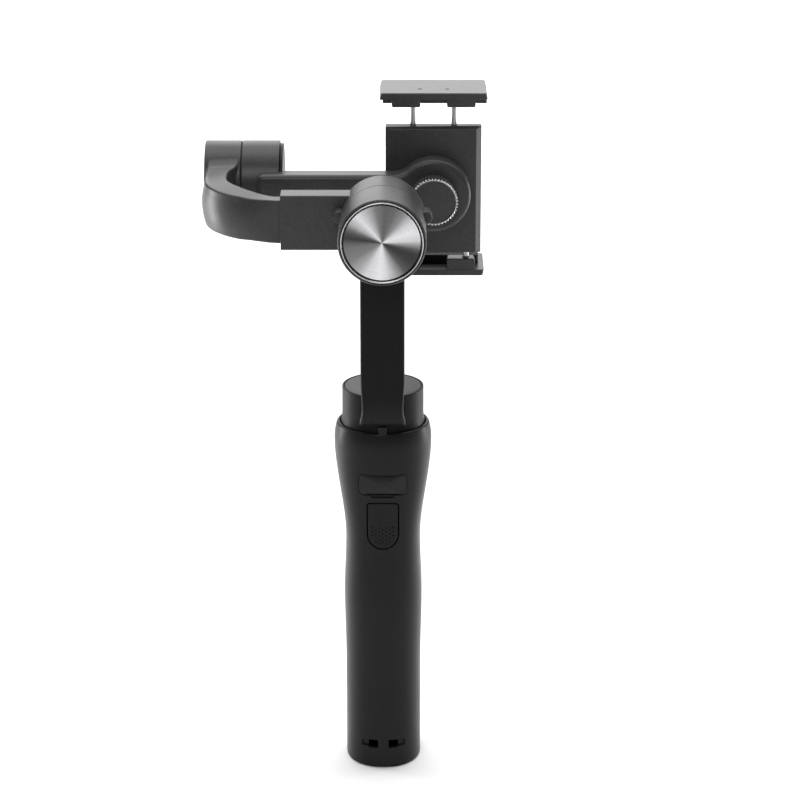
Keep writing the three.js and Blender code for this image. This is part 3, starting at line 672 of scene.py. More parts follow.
def section(z, shrink, sides, height=None):
    a = half_width(z) - shrink
    b = half_depth(z) - shrink
    power = 2 / squareness(z)
    ring = []
    for i in range(sides):
        angle = 2 * math.pi * i / sides
        c, s = math.cos(angle), math.sin(angle)
        ring.append((a * math.copysign(abs(c) ** power, c), b * math.copysign(abs(s) ** power, s),
                     z if height is None else height))
    return ring


def surface_depth(x, z):
    """How far the handle's skin stands from the pan axis at x and z, front or rear."""
    n = squareness(z)
    return half_depth(z) * max(0.0, 1 - abs(x / half_width(z)) ** n) ** (1 / n)


HANDLE_SIDES = 176
FOOT_ROUNDING = 1.2
RIM_ROUNDING = 0.6


def outer_sections():
    rings = []
    for k in range(6):
        angle = math.pi / 2 * k / 5
        z = FOOT_ROUNDING * (1 - math.cos(angle))
        rings.append(section(0, FOOT_ROUNDING * (1 - math.sin(angle)), HANDLE_SIDES, z))
    z = 3.0
    while z < HANDLE_TOP - RIM_ROUNDING - 0.5:
        rings.append(section(z, 0, HANDLE_SIDES))
        z += 1.5
    for k in range(5):
        angle = math.pi / 2 * k / 4
        z = HANDLE_TOP - RIM_ROUNDING * (1 - math.sin(angle))
        rings.append(section(z, RIM_ROUNDING * (1 - math.cos(angle)), HANDLE_SIDES))
    return rings


def handle_tube():
    """The whole handle as one open-ended tube."""
    rings = outer_sections()

    def circle(radius, z):
        return [(radius * math.cos(2 * math.pi * i / HANDLE_SIDES),
                 radius * math.sin(2 * math.pi * i / HANDLE_SIDES), z) for i in range(HANDLE_SIDES)]

    rings.append(circle(MOTOR_BORE + 0.25, HANDLE_TOP))
    rings.append(circle(MOTOR_BORE, HANDLE_TOP - 0.3))
    rings.append(circle(MOTOR_BORE, SHOULDER_Z))
    z = SHOULDER_Z - 4
    while z > 4:
        rings.append(section(z, WALL, HANDLE_SIDES))
        z -= 6
    rings.append(section(0, WALL, HANDLE_SIDES, 0))
    return stack("tube", rings, looped=True)


def inset_pad(name, outline, side, proud, back_y, edge, rings=9, edge_steps=4):
    """A pad that follows the handle's skin: side is -1 on the rear and 1 on the front.

    proud is how far it stands out, back_y where its flat back lies, edge its rounding.
    """
    if signed_area(outline) < 0:
        outline = outline[::-1]
    centre = Vector((sum(p[0] for p in outline), sum(p[1] for p in outline))) / len(outline)

    def skin_point(u, v, drop):
        return (u, side * (surface_depth(u, v) + proud - drop), v)

    levels = [[(u, side * back_y, v) for u, v in outline]]
    for k in range(edge_steps + 1):
        angle = math.pi / 2 * k / edge_steps
        line = inset(outline, edge * (1 - math.cos(angle)))
        levels.append([skin_point(u, v, edge * (1 - math.sin(angle))) for u, v in line])
    rim = inset(outline, edge)
    for k in range(1, rings):
        t = 1 - k / rings
        levels.append([skin_point(centre.x + (u - centre.x) * t, centre.y + (v - centre.y) * t, 0)
                       for u, v in rim])
    tip = skin_point(centre.x, centre.y, 0)
    return stack(name, levels, end_pole=tip)


# ------------------------------------------------------------------ rear of the handle

TRIGGER = {"half": 6.45, "bottom": 103.2, "top": 123.8}
PORT = {"half": 10.1, "bottom": 127.9, "top": 136.8, "corner": 1.8}
LANYARD = {"inner": 2.3, "outer": 6.4, "bottom": 9.4, "top": 13.3}
SOCKET_X = 4.6
SOCKET_Z = 132.3


def trigger_outline(margin):
    half = TRIGGER["half"] + margin
    top = TRIGGER["top"] + margin
    low = TRIGGER["bottom"] + TRIGGER["half"]
    corner = 1 + margin
    outline = arc((0, low), half, 180, 360, 28)
    for z in range(1, 6):
        outline.append((half, low + (top - corner - low) * z / 6))
    outline += arc((half - corner, top - corner), corner, 0, 90, 5)
    outline += [(half - corner - (2 * (half - corner)) * k / 10, top + 0.25 * math.sin(math.pi * k / 10))
                for k in range(1, 10)]
    outline += arc((-half + corner, top - corner), corner, 90, 180, 5)
    for z in range(5, 0, -1):
        outline.append((-half, low + (top - corner - low) * z / 6))
    return without_repeats(outline)


def port_outline(margin):
    half = PORT["half"] + margin
    return rounded_box(-half, half, PORT["bottom"] - margin, PORT["top"] + margin,
                       PORT["corner"] + margin, 8)


def handle_shells():
    tube = handle_tube()
    rear_window = pushed("w", "y", port_outline(GAP), -30, -10)
    notch = pushed("w", "y", rounded_box(-5.1, 5.1, PORT["bottom"] - 1.3, PORT["bottom"] + 1, 0.5),
                   -30, -18.6)
    trigger_window = pushed("w", "y", trigger_outline(0.5), -30, -10)
    slots = []
    for side in (-1, 1):
        x = sorted((side * LANYARD["inner"], side * LANYARD["outer"]))
        slots.append(pushed("w", "y", rounded_box(*x, LANYARD["bottom"], LANYARD["top"], 0.5),
                            -25, -12))
        groove = [(side * 6, -25), (side * 9.4, -25), (side * 9.4, -15.2), (side * 6, -16.6)]
        slots.append(pushed("w", "z", groove, LANYARD["bottom"] + 0.6, LANYARD["top"] - 0.6))
    panel_window = pushed("w", "y", panel_outline(GAP), 10, 30)
    tube = cut(tube, rear_window, notch, trigger_window, *slots, panel_window)

    front = tube.copy()
    front.data = tube.data.copy()
    bpy.context.scene.collection.objects.link(front)
    rear = common(tube, brick("half", (-40, 40), (-40, SEAM_Y - GAP / 2), (-5, 170), corner=0))
    front = common(front, brick("half", (-40, 40), (SEAM_Y + GAP / 2, 40), (-5, 170), corner=0))

    plate = common(brick("plate", (-11.6, 11.6), (-16.9, -16), (126.4, 138.3), corner=0),
                   stack("skin", outer_sections()))
    holes = [pushed("w", "y", rounded_box(side * SOCKET_X - 4.3, side * SOCKET_X + 4.3,
                                          SOCKET_Z - 2, SOCKET_Z + 2, 0.6), -18, -15)
             for side in (-1, 1)]
    tab = brick("tab", (-1.8, 1.8), (-19.5, -18.6), (152.5, ARM_BOTTOM - 0.5), 0.15, 0.3)
    rear = weld(rear, cut(plate, *holes), tab)
    rear.name = "rear_shell_fine"
    front.name = "front_shell_fine"
    publish(rear, "handle_rear_shell", angle=28)
    publish(front, "handle_front_shell", angle=28)


GRIP = {"pitch": 2.95, "row": 0.93, "rows": 10, "bottom": 104.5, "reach": 4.9, "half": 0.62, "flat": 0.66,
        "depth": 0.3}


def grip_dimples():
    """Diamond pits in staggered rows over the lower half of the trigger, as cutters."""
    centre_z = TRIGGER["bottom"] + TRIGGER["half"]
    pits = []
    for row in range(GRIP["rows"]):
        z = GRIP["bottom"] + row * GRIP["row"]
        for column in range(-2, 3):
            x = (column + 0.5 * (row % 2)) * GRIP["pitch"]
            if math.hypot(x, min(0, z - centre_z)) > GRIP["reach"]:
                continue
            y = -surface_depth(x, z)
            profile = [(0, y - 0.3), (GRIP["half"], y - 0.3), (GRIP["half"], y - 0.08),
                       (0, y + GRIP["depth"])]
            pits.append(turned("pit", "y", (x, 0, z), profile, 4,
                               lambda angle, r: r * (1 - (1 - GRIP["flat"]) * abs(math.sin(angle)))))
    return pits


def trigger_piece():
    pad = inset_pad("trigger_fine", trigger_outline(0), -1, 0.05, 15.2, 0.35)
    barrel = turned("b", "x", (0, -14.6, 122.3), disc_profile(1.1, -7.8, 7.8, 0.2), SMALL)
    finger = brick("b", (-1.5, 1.5), (-15.6, -13.6), (105, 108), 0.1, 0.2)
    trigger = weld(pad, barrel, finger)
    trigger = cut(trigger, gather("dimples", grip_dimples()))
    trigger.name = "trigger_fine"
    publish(trigger, "trigger")


def port_cover_piece():
    cover = inset_pad("port_cover_fine", port_outline(0), -1, 0.0, 17.1, 0.22, rings=6)
    publish(cover, "port_cover")


def sockets():
    for side, node in ((-1, "charge_socket"), (1, "power_out_socket")):
        x = side * SOCKET_X
        can = pushed("can", "y", rounded_box(x - 4, x + 4, SOCKET_Z - 1.7, SOCKET_Z + 1.7, 0.8),
                     -17, -11, 0.1)
        mouth = pushed("m", "y", rounded_box(x - 3.5, x + 3.5, SOCKET_Z - 1.2, SOCKET_Z + 1.2, 0.5),
                       -18, -12)
        tongue = brick("t", (x - 2.6, x + 2.6), (-16, -11.5), (SOCKET_Z - 0.35, SOCKET_Z + 0.35), 0.08, 0.2)
        can = weld(cut(can, mouth), tongue)
        can.name = node + "_fine"
        publish(can, node)


# ------------------------------------------------------------------ front of the handle

PANEL = {"half": 8.5, "bottom": 77.5, "top": 133.5, "inner": 15.6}
JOYSTICK_Z = 124
RECORD_Z = 110.5
ROCKER_Z = 98
MODE_Z = 87


def panel_outline(margin):
    half = PANEL["half"] + margin
    bottom, top = PANEL["bottom"] - margin, PANEL["top"] + margin
    corner = 3.7 + margin
    outline = arc((half - corner, bottom + corner), corner, -90, 0, 8)
    steps = 24
    outline += [(half, bottom + corner + (top - bottom - 2 * corner) * k / steps) for k in range(1, steps)]
    outline += arc((half - corner, top - corner), corner, 0, 90, 8)
    outline += arc((-half + corner, top - corner), corner, 90, 180, 8)
    outline += [(-half, top - corner - (top - bottom - 2 * corner) * k / steps) for k in range(1, steps)]
    outline += arc((-half + corner, bottom + corner), corner, 180, 270, 8)
    return without_repeats(outline)


def control_panel():
    panel = inset_pad("control_panel_fine", panel_outline(0), 1, 0.0, PANEL["inner"], 0.25, rings=12)

    def bore(z, radius):
        return turned("h", "y", (0, 0, z), [(0, 10), (radius, 10), (radius, 30), (0, 30)], MEDIUM)

    rocker = pushed("h", "y", rounded_box(-4.3, 4.3, ROCKER_Z - 6, ROCKER_Z + 6, 2.3), 10, 30)
    window = pushed("h", "y", rounded_box(-3.3, 3.3, 79.7, 81.3, 0.5), 10, 30)
    cut(panel, bore(JOYSTICK_Z, 5), bore(RECORD_Z, 4.7), bore(MODE_Z, 3.4), rocker, window)
    publish(panel, "control_panel")
    lamp_bar = inset_pad("status_window_fine", rounded_box(-3, 3, 80, 81, 0.4), 1, -0.05, 16.2, 0.1, rings=3)
    publish(lamp_bar, "status_window")
    boot = [(5.4, 18.4), (5.4, 19.75), (5.8, 20.0), (6.3, 19.7), (6.5, 18.2)]
    collar = turned("joystick_collar", "y", (0, 0, JOYSTICK_Z), soften(boot, 0.15), MEDIUM)
    publish(collar, like="control_panel", slot="control_plastic")


def joystick():
    centre = (0, 0, JOYSTICK_Z)
    cradle = turned("joystick_cradle_fine", "y", centre, tube_profile(2.7, 3.9, 13.8, 15.2, 0.2), MEDIUM)
    pins = [turned("p", "x", (0, 14.5, JOYSTICK_Z), disc_profile(0.6, s * 3.4, s * 4.9, 0.1), 20)
            for s in (1, -1)]
    publish(weld(cradle, *pins), "joystick_cradle")
    profile = [(0, 13.2), (1.6, 13.2, 0.2), (1.6, 20.4, 0.8), (2.6, 22.0, 0.6), (4.5, 22.2, 0.3),
               (4.7, 22.6, 0.3), (4.65, 23.3, 0.4), (3.9, 24.0, 0.5), (3.0, 23.7, 0.8), (0, 23.35)]
    line = soften(profile, 0.3, closed=False)

    def grip(angle, radius):
        return radius + (0.09 * math.cos(24 * angle) if radius > 4.4 else 0)

    publish(turned("joystick_cap_fine", "y", centre, line, 192, grip), "joystick_cap")


def buttons():
    for node, z, radius, face in (("record_button", RECORD_Z, 4.4, 20.3), ("mode_button", MODE_Z, 3.1, 20.2)):
        profile = [(0, 14.6), (radius, 14.6, 0.2), (radius, face - 0.1, 0.45), (radius - 0.9, face, 0.5),
                   (radius * 0.45, face - 0.28, 1.0), (0, face - 0.34)]
        button = turned(node + "_fine", "y", (0, 0, z), soften(profile, 0.3, closed=False), MEDIUM)
        publish(button, node)
    outline = rounded_box(-4, 4, ROCKER_Z - 5.5, ROCKER_Z + 5.5, 2)
    rocker = pushed("zoom_rocker_fine", "y", outline, 15, 20.1, 0.15, 0.7)
    dish = turned("d", "x", (0, 35.6, ROCKER_Z), disc_profile(16.0, -6, 6, 0), 256)
    cut(rocker, dish)
    heights = [ROCKER_Z + s * (3.0 + k) for s in (-1, 1) for k in (0, 0.9)]
    ribs = [brick("r", (-2.2, 2.2), (19.2, 19.95), (z - 0.22, z + 0.22), 0.1, 0.15) for z in heights]
    publish(weld(rocker, *ribs), "zoom_rocker")


# ------------------------------------------------------------------ base

BUSHING_RADIUS = 6


def base():
    rings = []
    for k in range(4):
        angle = math.pi / 2 * k / 3
        rings.append(section(0, WALL + GAP + 0.4 * (1 - math.sin(angle)), 128, 0.4 * (1 - math.cos(angle))))
    rings.append(section(0, WALL + GAP, 128, 4))
    cap = stack("base_cap_fine", rings)
    hole = BUSHING_RADIUS + GAP
    bore = turned("h", "z", (0, 0, 0), [(0, -1), (hole, -1), (hole, 6), (0, 6)])
    recess = [turned("h", "z", (0, s * 12.2, 0), [(0, -1), (2.2, -1), (2.2, 1.0), (0, 1.0)], MEDIUM)
              for s in (-1, 1)]
    publish(cut(cap, bore, *recess), "base_cap")
    for side, name in ((-1, "rear"), (1, "front")):
        head = [(0, 1.05), (1.5, 1.05), (1.95, 0.75), (1.95, 0.45), (1.6, 0.2), (0, 0.12)]
        screw = turned("screw", "z", (0, side * 12.2, 0), [(r, z) for r, z in reversed(head)], MEDIUM)
        bits = [brick("k", (-a, a), (side * 12.2 - b, side * 12.2 + b), (0, 0.6), corner=0)
                for a, b in ((1.1, 0.22), (0.22, 1.1))]
        cut(screw, *bits)
        screw.name = f"base_screw_{name}"
        publish(screw, like="base_cap", slot="bright_steel")
    thread = []
    pitch = 1.27
    for k in range(7):
        z = 0.6 + k * pitch
        thread += [(3.2, z), (2.85, z + pitch * 0.45), (2.85, z + pitch * 0.55)]
    profile = [(0, 9)] + [(2.9, 9)] + [(r + 0.1, z) for r, z in reversed(thread)] + [
        (3.5, 0.0), (BUSHING_RADIUS - 0.2, 0), (BUSHING_RADIUS, 0.2), (BUSHING_RADIUS, 5), (4.8, 5),
        (4.8, 10.5), (0, 10.5)]
    publish(turned("tripod_bushing_fine", "z", (0, 0, 0), profile, MEDIUM), "tripod_bushing")


# ------------------------------------------------------------------ pan motor and upright arm

PAN_RADIUS = 17.36
PAN_TOP = Span("pan_housing").high.z
PAN_BOTTOM = Span("pan_housing").low.z
PAN_FLARE = {"radius": 18, "bottom": 155, "top": 160}


def pan_motor():
    wide, low, high = PAN_FLARE["radius"], PAN_FLARE["bottom"], PAN_FLARE["top"]
    profile = [(15.7, 166.5, 0.2), (15.7, PAN_BOTTOM, 0.2), (PAN_RADIUS, PAN_BOTTOM, 0.2),
               (PAN_RADIUS, low - 0.6, 0)]
    steps = 10
    for k in range(steps + 1):
        t = k / steps
        profile.append((PAN_RADIUS + (wide - PAN_RADIUS) * (1 - t) ** 2, low + (high - low) * t, 0))
    profile += [(PAN_RADIUS, PAN_TOP, 0.4), (16.6, PAN_TOP, 0.15), (16.6, 168.6, 0)]
    line = soften(profile, 0.2, closed=False)
    housing = turned("pan_housing_fine", "z", (0, 0, 0), [(0, 166.5)] + line + [(0, 168.6)])
    publish(housing, "pan_housing")
    cap = turned("pan_top_cap_fine", "z", (0, 0, 0), disc_profile(16.3, 168.9, 170.9, 0.18))
    publish(cap, "pan_top_cap")


ARM_HALF = 9.25
ARM_BACK = -18.0
ARM_FRONT = -26.0
ARM_BOTTOM = Span("vertical_arm").low.z
ROLL_Z = Span("roll_disc").centre.z
CASE_RADIUS = 18.1


def arm_half_width(z):
    """The arm is narrowest beside the motor and flares where it joins it."""
    waist = 0.6 * (1 - smoothstep(z, 168, 181))
    flare = 1.1 * (1 - smoothstep(z, ARM_BOTTOM, 167))
    return ARM_HALF - waist + flare


def arm_front(z):
    """The front face tucks in below, on a quarter of an ellipse."""
    bend_top = 174
    if z >= bend_top:
        return ARM_FRONT
    t = (bend_top - z) / (bend_top - ARM_BOTTOM)
    return ARM_BACK + (ARM_FRONT - ARM_BACK) * math.sqrt(max(0.0, 1 - t**2.4))


def vertical_arm():
    rings = []
    heights = [ARM_BOTTOM + 0.25 * k for k in range(64)]
    heights += [ARM_BOTTOM + 16 + 1.5 * k for k in range(37)]
    for z in heights:
        if z > 229.5:
            break
        half = arm_half_width(z)
        front = arm_front(z)
        back = ARM_BACK + 4 * (1 - smoothstep(z, 160.8, 162.6))
        corner = min(1.3, (back - front) * 0.45)
        low = 0.5 * (1 - smoothstep(z, ARM_BOTTOM, ARM_BOTTOM + 0.7))
        rings.append([(x, y, z) for x, y in rounded_box(-half + low, half - low, front + low, back,
                                                        max(0.2, corner - low), 6)])
    arm = stack("vertical_arm_fine", rings)
    hole = PAN_RADIUS + GAP
    pan_clear = turned("h", "z", (0, 0, 0), [(0, 140), (hole, 140), (hole, 180), (0, 180)], 256)
    hole = CASE_RADIUS + GAP
    roll_clear = turned("h", "y", (0, 0, ROLL_Z), [(0, -44), (hole, -44), (hole, -10), (0, -10)], 256)
    publish(cut(arm, pan_clear, roll_clear), "vertical_arm", angle=30)


# ------------------------------------------------------------------ roll motor

ROLL_AXIS = (0, 0, ROLL_Z)
ROTOR_RADIUS = 17.9
ROTOR_FRONT = -16.4
CASE_BACK = -17.5
RING = {"inner": 16.3, "outer": 17.05, "opening": 17.35}
DISC_RADIUS = 15.7
CASE_FRONT = Span("roll_motor_case").low.y


def roll_motor():
    opening, inner, outer = RING["opening"], RING["inner"], RING["outer"]
    case = [
        (16.8, -36.6, 0), (14, -36.6, 0), (14, -38.6, 0.1), (opening, -38.6, 0), (opening, CASE_FRONT, 0.1),
        (CASE_RADIUS - 0.5, CASE_FRONT, 0.15), (CASE_RADIUS, CASE_FRONT + 0.6, 0.35),
        (CASE_RADIUS, CASE_BACK, 0.25), (16.8, CASE_BACK, 0.1),
    ]
    publish(turned("roll_motor_case_fine", "y", ROLL_AXIS, soften(case, 0.2)), "roll_motor_case")
    trim = [(inner, -38.9, 0), (inner, -40.8, 0.12), (inner + 0.25, -41.15, 0.2), (outer - 0.2, -41.15, 0.2),
            (outer, -40.9, 0.15), (outer, -38.9, 0)]
    publish(turned("roll_trim_ring_fine", "y", ROLL_AXIS, soften(trim, 0.2)), "roll_trim_ring")
    disc = [(0, -38.9), (DISC_RADIUS, -38.9, 0), (DISC_RADIUS, -40.6, 0.15), (0, -40.6)]
    publish(turned("roll_disc_fine", "y", ROLL_AXIS, soften(disc, 0.2, closed=False)), "roll_disc")
    # A black ring sunk in the gap between case and rotor: painted shade, a dark line where the seam's shadow
    # falls.
    painted_seam_shade = tube_profile(15.9, CASE_RADIUS - 0.7, CASE_BACK + 0.05, ROTOR_FRONT - 0.1, 0.1)
    publish(turned("roll_seam_painted_shade_ring", "y", ROLL_AXIS, painted_seam_shade), like="roll_motor_case", slot="rubber_black")


SLEEVE = {"end": -42.4, "front": -10.0, "back": 0.5, "half": 11.7}
TONGUE = {"end": -20.3, "front": -8.3, "back": -0.9, "half": 9.2}
LUG = {"x": 17.9, "rise": 4, "radius": 2.7, "front": -16.7}
LOCK_X = Span("arm_lock_screw").centre.x


def roll_rotor():
    drum = turned("roll_housing_fine", "y", ROLL_AXIS, disc_profile(ROTOR_RADIUS, ROTOR_FRONT, 0, 0.25))
    sleeve_outline = rounded_box(SLEEVE["front"], SLEEVE["back"], ROLL_Z - SLEEVE["half"],
                                 ROLL_Z + SLEEVE["half"], 0.7, 5)
    sleeve = pushed("s", "x", sleeve_outline, SLEEVE["end"], -11, 0.35, 0)
    lugs = [turned("l", "y", (side * LUG["x"], 0, ROLL_Z + LUG["rise"]),
                   disc_profile(LUG["radius"], LUG["front"], -9, 0.55), MEDIUM) for side in (-1, 1)]
    body = weld(drum, sleeve, *lugs)
    slot_outline = rounded_box(TONGUE["front"] - GAP, TONGUE["back"] + GAP, ROLL_Z - TONGUE["half"] - GAP,
                               ROLL_Z + TONGUE["half"] + GAP, 0.4, 3)
    slot = pushed("h", "x", slot_outline, SLEEVE["end"] - 1, TONGUE["end"] + 1)
    cavity = turned("h", "y", ROLL_AXIS, [(0, -18), (15.7, -18), (15.7, -3), (0, -3)])
    recess = turned("h", "y", ROLL_AXIS, [(0, -1.2), (14.8, -1.2), (14.8, 2), (0, 2)])
    screw_hole = turned("h", "y", (LOCK_X, 0, ROLL_Z), [(0, -5), (2.1, -5), (2.1, 2), (0, 2)], SMALL)
    publish(cut(body, slot, cavity, recess, screw_hole), "roll_housing")
    cover = [(0, -0.9), (14.5, -0.9, 0.1), (14.5, 0.3, 0.25), (13.2, 0.3, 0.1), (12.9, 0.05, 0.1), (0, 0.05)]
    cover = turned("roll_back_cover_fine", "y", ROLL_AXIS, soften(cover, 0.1, closed=False))
    publish(cover, "roll_back_cover")


def arm_lock_screw():
    def grip(angle, radius):
        return radius - (0.35 * (0.5 + 0.5 * math.cos(18 * angle)) ** 2 if radius > 3.9 else 0)

    profile = [(0, -0.5), (1.8, -0.5, 0.2), (1.8, 0.8, 0), (4.45, 0.8, 0.3), (4.45, 5.6, 0.5),
               (3.2, 5.6, 0.3), (2.9, 5.2, 0.3), (0, 5.2)]
    line = soften(profile, 0.3, closed=False)
    publish(turned("arm_lock_screw_fine", "y", (LOCK_X, 0, ROLL_Z), line, 216, grip), "arm_lock_screw")


# ------------------------------------------------------------------ curved arm and tilt motor

TILT_Y = Span("tilt_housing").centre.y
TILT_Z = Span("tilt_housing").centre.z
TILT_AXIS = (0, TILT_Y, TILT_Z)
TILT_RADIUS = 17.6
TILT_LEFT = Span("roll_arm").low.x
TILT_SEAM = -61.6
BLEND = 9.0  # radius of the fillet where the arm meets the motor
BEND_OUTER = -76.0
BEND_INNER = -66.3
BEND_HALF = 10.4  # half the arm's height once it has turned the corner


def arm_lines(count=96):
    """The arm's outer and inner edges in plan, as matching points from the tongue to the motor."""
    start, end = TONGUE["front"], TONGUE["back"]
    outer = [(TONGUE["end"], start)]
    outer += bezier((-41, start), (-57, start), (BEND_OUTER, 6), (BEND_OUTER, 27), 40)
    outer += [(BEND_OUTER, 52)]
    inner = [(TONGUE["end"], end)]
    inner += bezier((-43.5, end), (-50, end), (BEND_INNER, 14), (BEND_INNER, 27), 40)
    inner += bezier((BEND_INNER, 34), (BEND_INNER, 42), (TILT_SEAM, 46), (TILT_SEAM, 52), 16)
    return resample(outer, count), resample(inner, count)


def resample(points, count):
    lengths = [0.0]
    for a, b in zip(points, points[1:]):
        lengths.append(lengths[-1] + math.dist(a, b))
    out = []
    k = 0
    for i in range(count):
        target = lengths[-1] * i / (count - 1)
        while k < len(points) - 2 and lengths[k + 1] < target:
            k += 1
        t = (target - lengths[k]) / (lengths[k + 1] - lengths[k])
        a, b = points[k], points[k + 1]
        out.append((a[0] + (b[0] - a[0]) * t, a[1] + (b[1] - a[1]) * t))
    return out


def arm_half_height(x, y):
    """A little taller round the bend, then a fillet that rises onto the round motor case."""
    half = TONGUE["half"] + (BEND_HALF - TONGUE["half"]) * min(1, max(0, (-x - 45) / 15))
    run = math.sqrt((TILT_RADIUS + BLEND) ** 2 - (half + BLEND) ** 2)
    start = TILT_Y - run
    touch = TILT_Y - run * TILT_RADIUS / (TILT_RADIUS + BLEND)
    if y <= start:
        return half
    if y < touch:
        return half + BLEND - math.sqrt(max(0.0, BLEND**2 - (y - start) ** 2))
    return math.sqrt(max(0.0, TILT_RADIUS**2 - (TILT_Y - y) ** 2)) - 0.05


def curved_arm():
    outer, inner = arm_lines()
    rings = []
    for outer_point, inner_point in zip(outer, inner):
        out = Vector(outer_point)
        into = Vector(inner_point)
        across = (out - into).normalized()
        width = (out - into).length
        middle = (out + into) / 2
        crown = 1.3 * smoothstep(-out.x, 43.5, 58) * (1 - smoothstep(middle.y, 34, 47))
        edge = 0.5 + 0.7 * smoothstep(-out.x, 43, 52)
        half_out = arm_half_height(*out) - 0.8 * crown
        half_in = arm_half_height(*into)
        ring = []
        for a, z in section_outline(width, half_out, half_in, edge, crown):
            point = into + across * a
            ring.append((point.x, point.y, TILT_Z + z))
        rings.append(ring)
    sweep = stack("roll_arm_fine", rings)
    case = turned("c", "x", TILT_AXIS, disc_profile(TILT_RADIUS, TILT_LEFT, TILT_SEAM, 0.6))
    body = weld(sweep, case)
    cavity = turned("h", "x", TILT_AXIS, [(0, -80), (14.9, -80), (14.9, -60), (0, -60)])
    publish(cut(body, cavity), "roll_arm", angle=30)


def section_outline(width, half_out, half_in, edge, crown, steps=5, face=10):
    """The arm's cross-section: flat inside, crowned outside, rounded corners."""
    points = []
    points += arc((edge, half_in - edge), edge, 90, 180, steps)
    for k in range(1, face):
        t = k / face
        points.append((0, (half_in - edge) * (1 - 2 * t)))
    points += arc((edge, -half_in + edge), edge, 180, 270, steps)
    points += arc((width - edge, -half_out + edge), edge, 270, 360, steps)
    for k in range(1, face):
        t = k / face
        z = (half_out - edge) * (2 * t - 1)
        points.append((width + crown * (1 - (2 * t - 1) ** 2), z))
    points += arc((width - edge, half_out - edge), edge, 0, 90, steps)
    return points


TILT_RIGHT = Span("tilt_housing").high.x


def tilt_motor():
    rotor = [(0, -48), (14.7, -48, 0.2), (14.7, -61.3, 0.1), (TILT_RADIUS, -61.3, 0.35),
             (TILT_RADIUS, TILT_RIGHT, 0.45), (16.2, TILT_RIGHT, 0.15), (0, TILT_RIGHT)]
    publish(turned("tilt_housing_fine", "x", TILT_AXIS, soften(rotor, 0.2, closed=False)), "tilt_housing")
    flange = [(0, -44.7), (16.4, -44.7, 0.15), (16.4, -43.5, 0.35), (4.6, -43.5, 0.2), (4.4, -43.9, 0.15),
              (3.3, -43.9, 0.15), (3.1, -42.4, 0.2), (2.3, -42.2, 0.2), (2.3, -41.0, 0.4), (0, -41.0)]
    publish(turned("tilt_flange_fine", "x", TILT_AXIS, soften(flange, 0.2, closed=False)), "tilt_flange")
    # A black ring sunk in the gap between the arm's case and the rotor: painted shade, a dark line where the
    # seam's shadow falls.
    painted_seam_shade = tube_profile(15.0, TILT_RADIUS - 0.8, TILT_SEAM + 0.02, TILT_SEAM + 0.27, 0.02)
    publish(turned("tilt_seam_painted_shade_ring", "x", TILT_AXIS, painted_seam_shade), like="roll_arm", slot="rubber_black")
    cap = [(0, -75.4), (14.6, -75.4, 0.1), (14.6, TILT_LEFT, 0.3), (12.4, TILT_LEFT, 0.2),
           (12.0, TILT_LEFT + 0.35, 0.2), (0, TILT_LEFT + 0.35)]
    publish(turned("tilt_end_cap_fine", "x", TILT_AXIS, soften(cap, 0.2, closed=False)), "tilt_end_cap")


KNOB = Span("clamp_knob")
BOSS_X = KNOB.centre.x
BOSS_Z = KNOB.centre.z
BOSS = {"radius": 16, "front": 39, "back": 48.9, "half": 9.2, "fillet": 10, "left": -54.4}
PIVOT_RADIUS = 4.5


def boss_outline():
    fillet, half, radius = BOSS["fillet"], BOSS["half"], BOSS["radius"]
    rise = half + fillet
    reach = math.sqrt((radius + fillet) ** 2 - rise**2)
    meet = math.degrees(math.atan2(rise, -reach))
    corner = 3
    left = BOSS["left"] + corner
    neck = BOSS_X - reach
    steps = 24
    points = [(left + (neck - left) * k / steps, BOSS_Z - half) for k in range(steps)]
    points += arc((neck, BOSS_Z - rise), fillet, 90, 180 - meet, 12)
    points += arc((BOSS_X, BOSS_Z), radius, -meet, meet, 96)
    points += arc((neck, BOSS_Z + rise), fillet, meet - 180, -90, 12)
    points += [(neck + (left - neck) * k / steps, BOSS_Z + half) for k in range(1, steps)]
    points += arc((left, BOSS_Z + half - corner), corner, 90, 180, 8)
    points += arc((left, BOSS_Z - half + corner), corner, 180, 270, 8)
    return without_repeats(points)


def tilt_arm():
    arm = pushed("tilt_arm_fine", "y", boss_outline(), BOSS["front"], BOSS["back"], 2.2, 0.9, 6)
    clear = TILT_RADIUS + GAP
    rotor_clear = turned("h", "x", TILT_AXIS, [(0, -60), (clear, -60), (clear, -43.2), (0, -43.2)], 256)
    bore = turned("h", "y", CLAMP_AXIS, [(0, 35), (4.8, 35), (4.8, 55), (0, 55)], MEDIUM)
    publish(cut(arm, rotor_clear, bore), "tilt_arm")


# ------------------------------------------------------------------ phone clamp

CLAMP_AXIS = (BOSS_X, 0, BOSS_Z)
KNOB_RADIUS = 10.3
FLUTES = 44


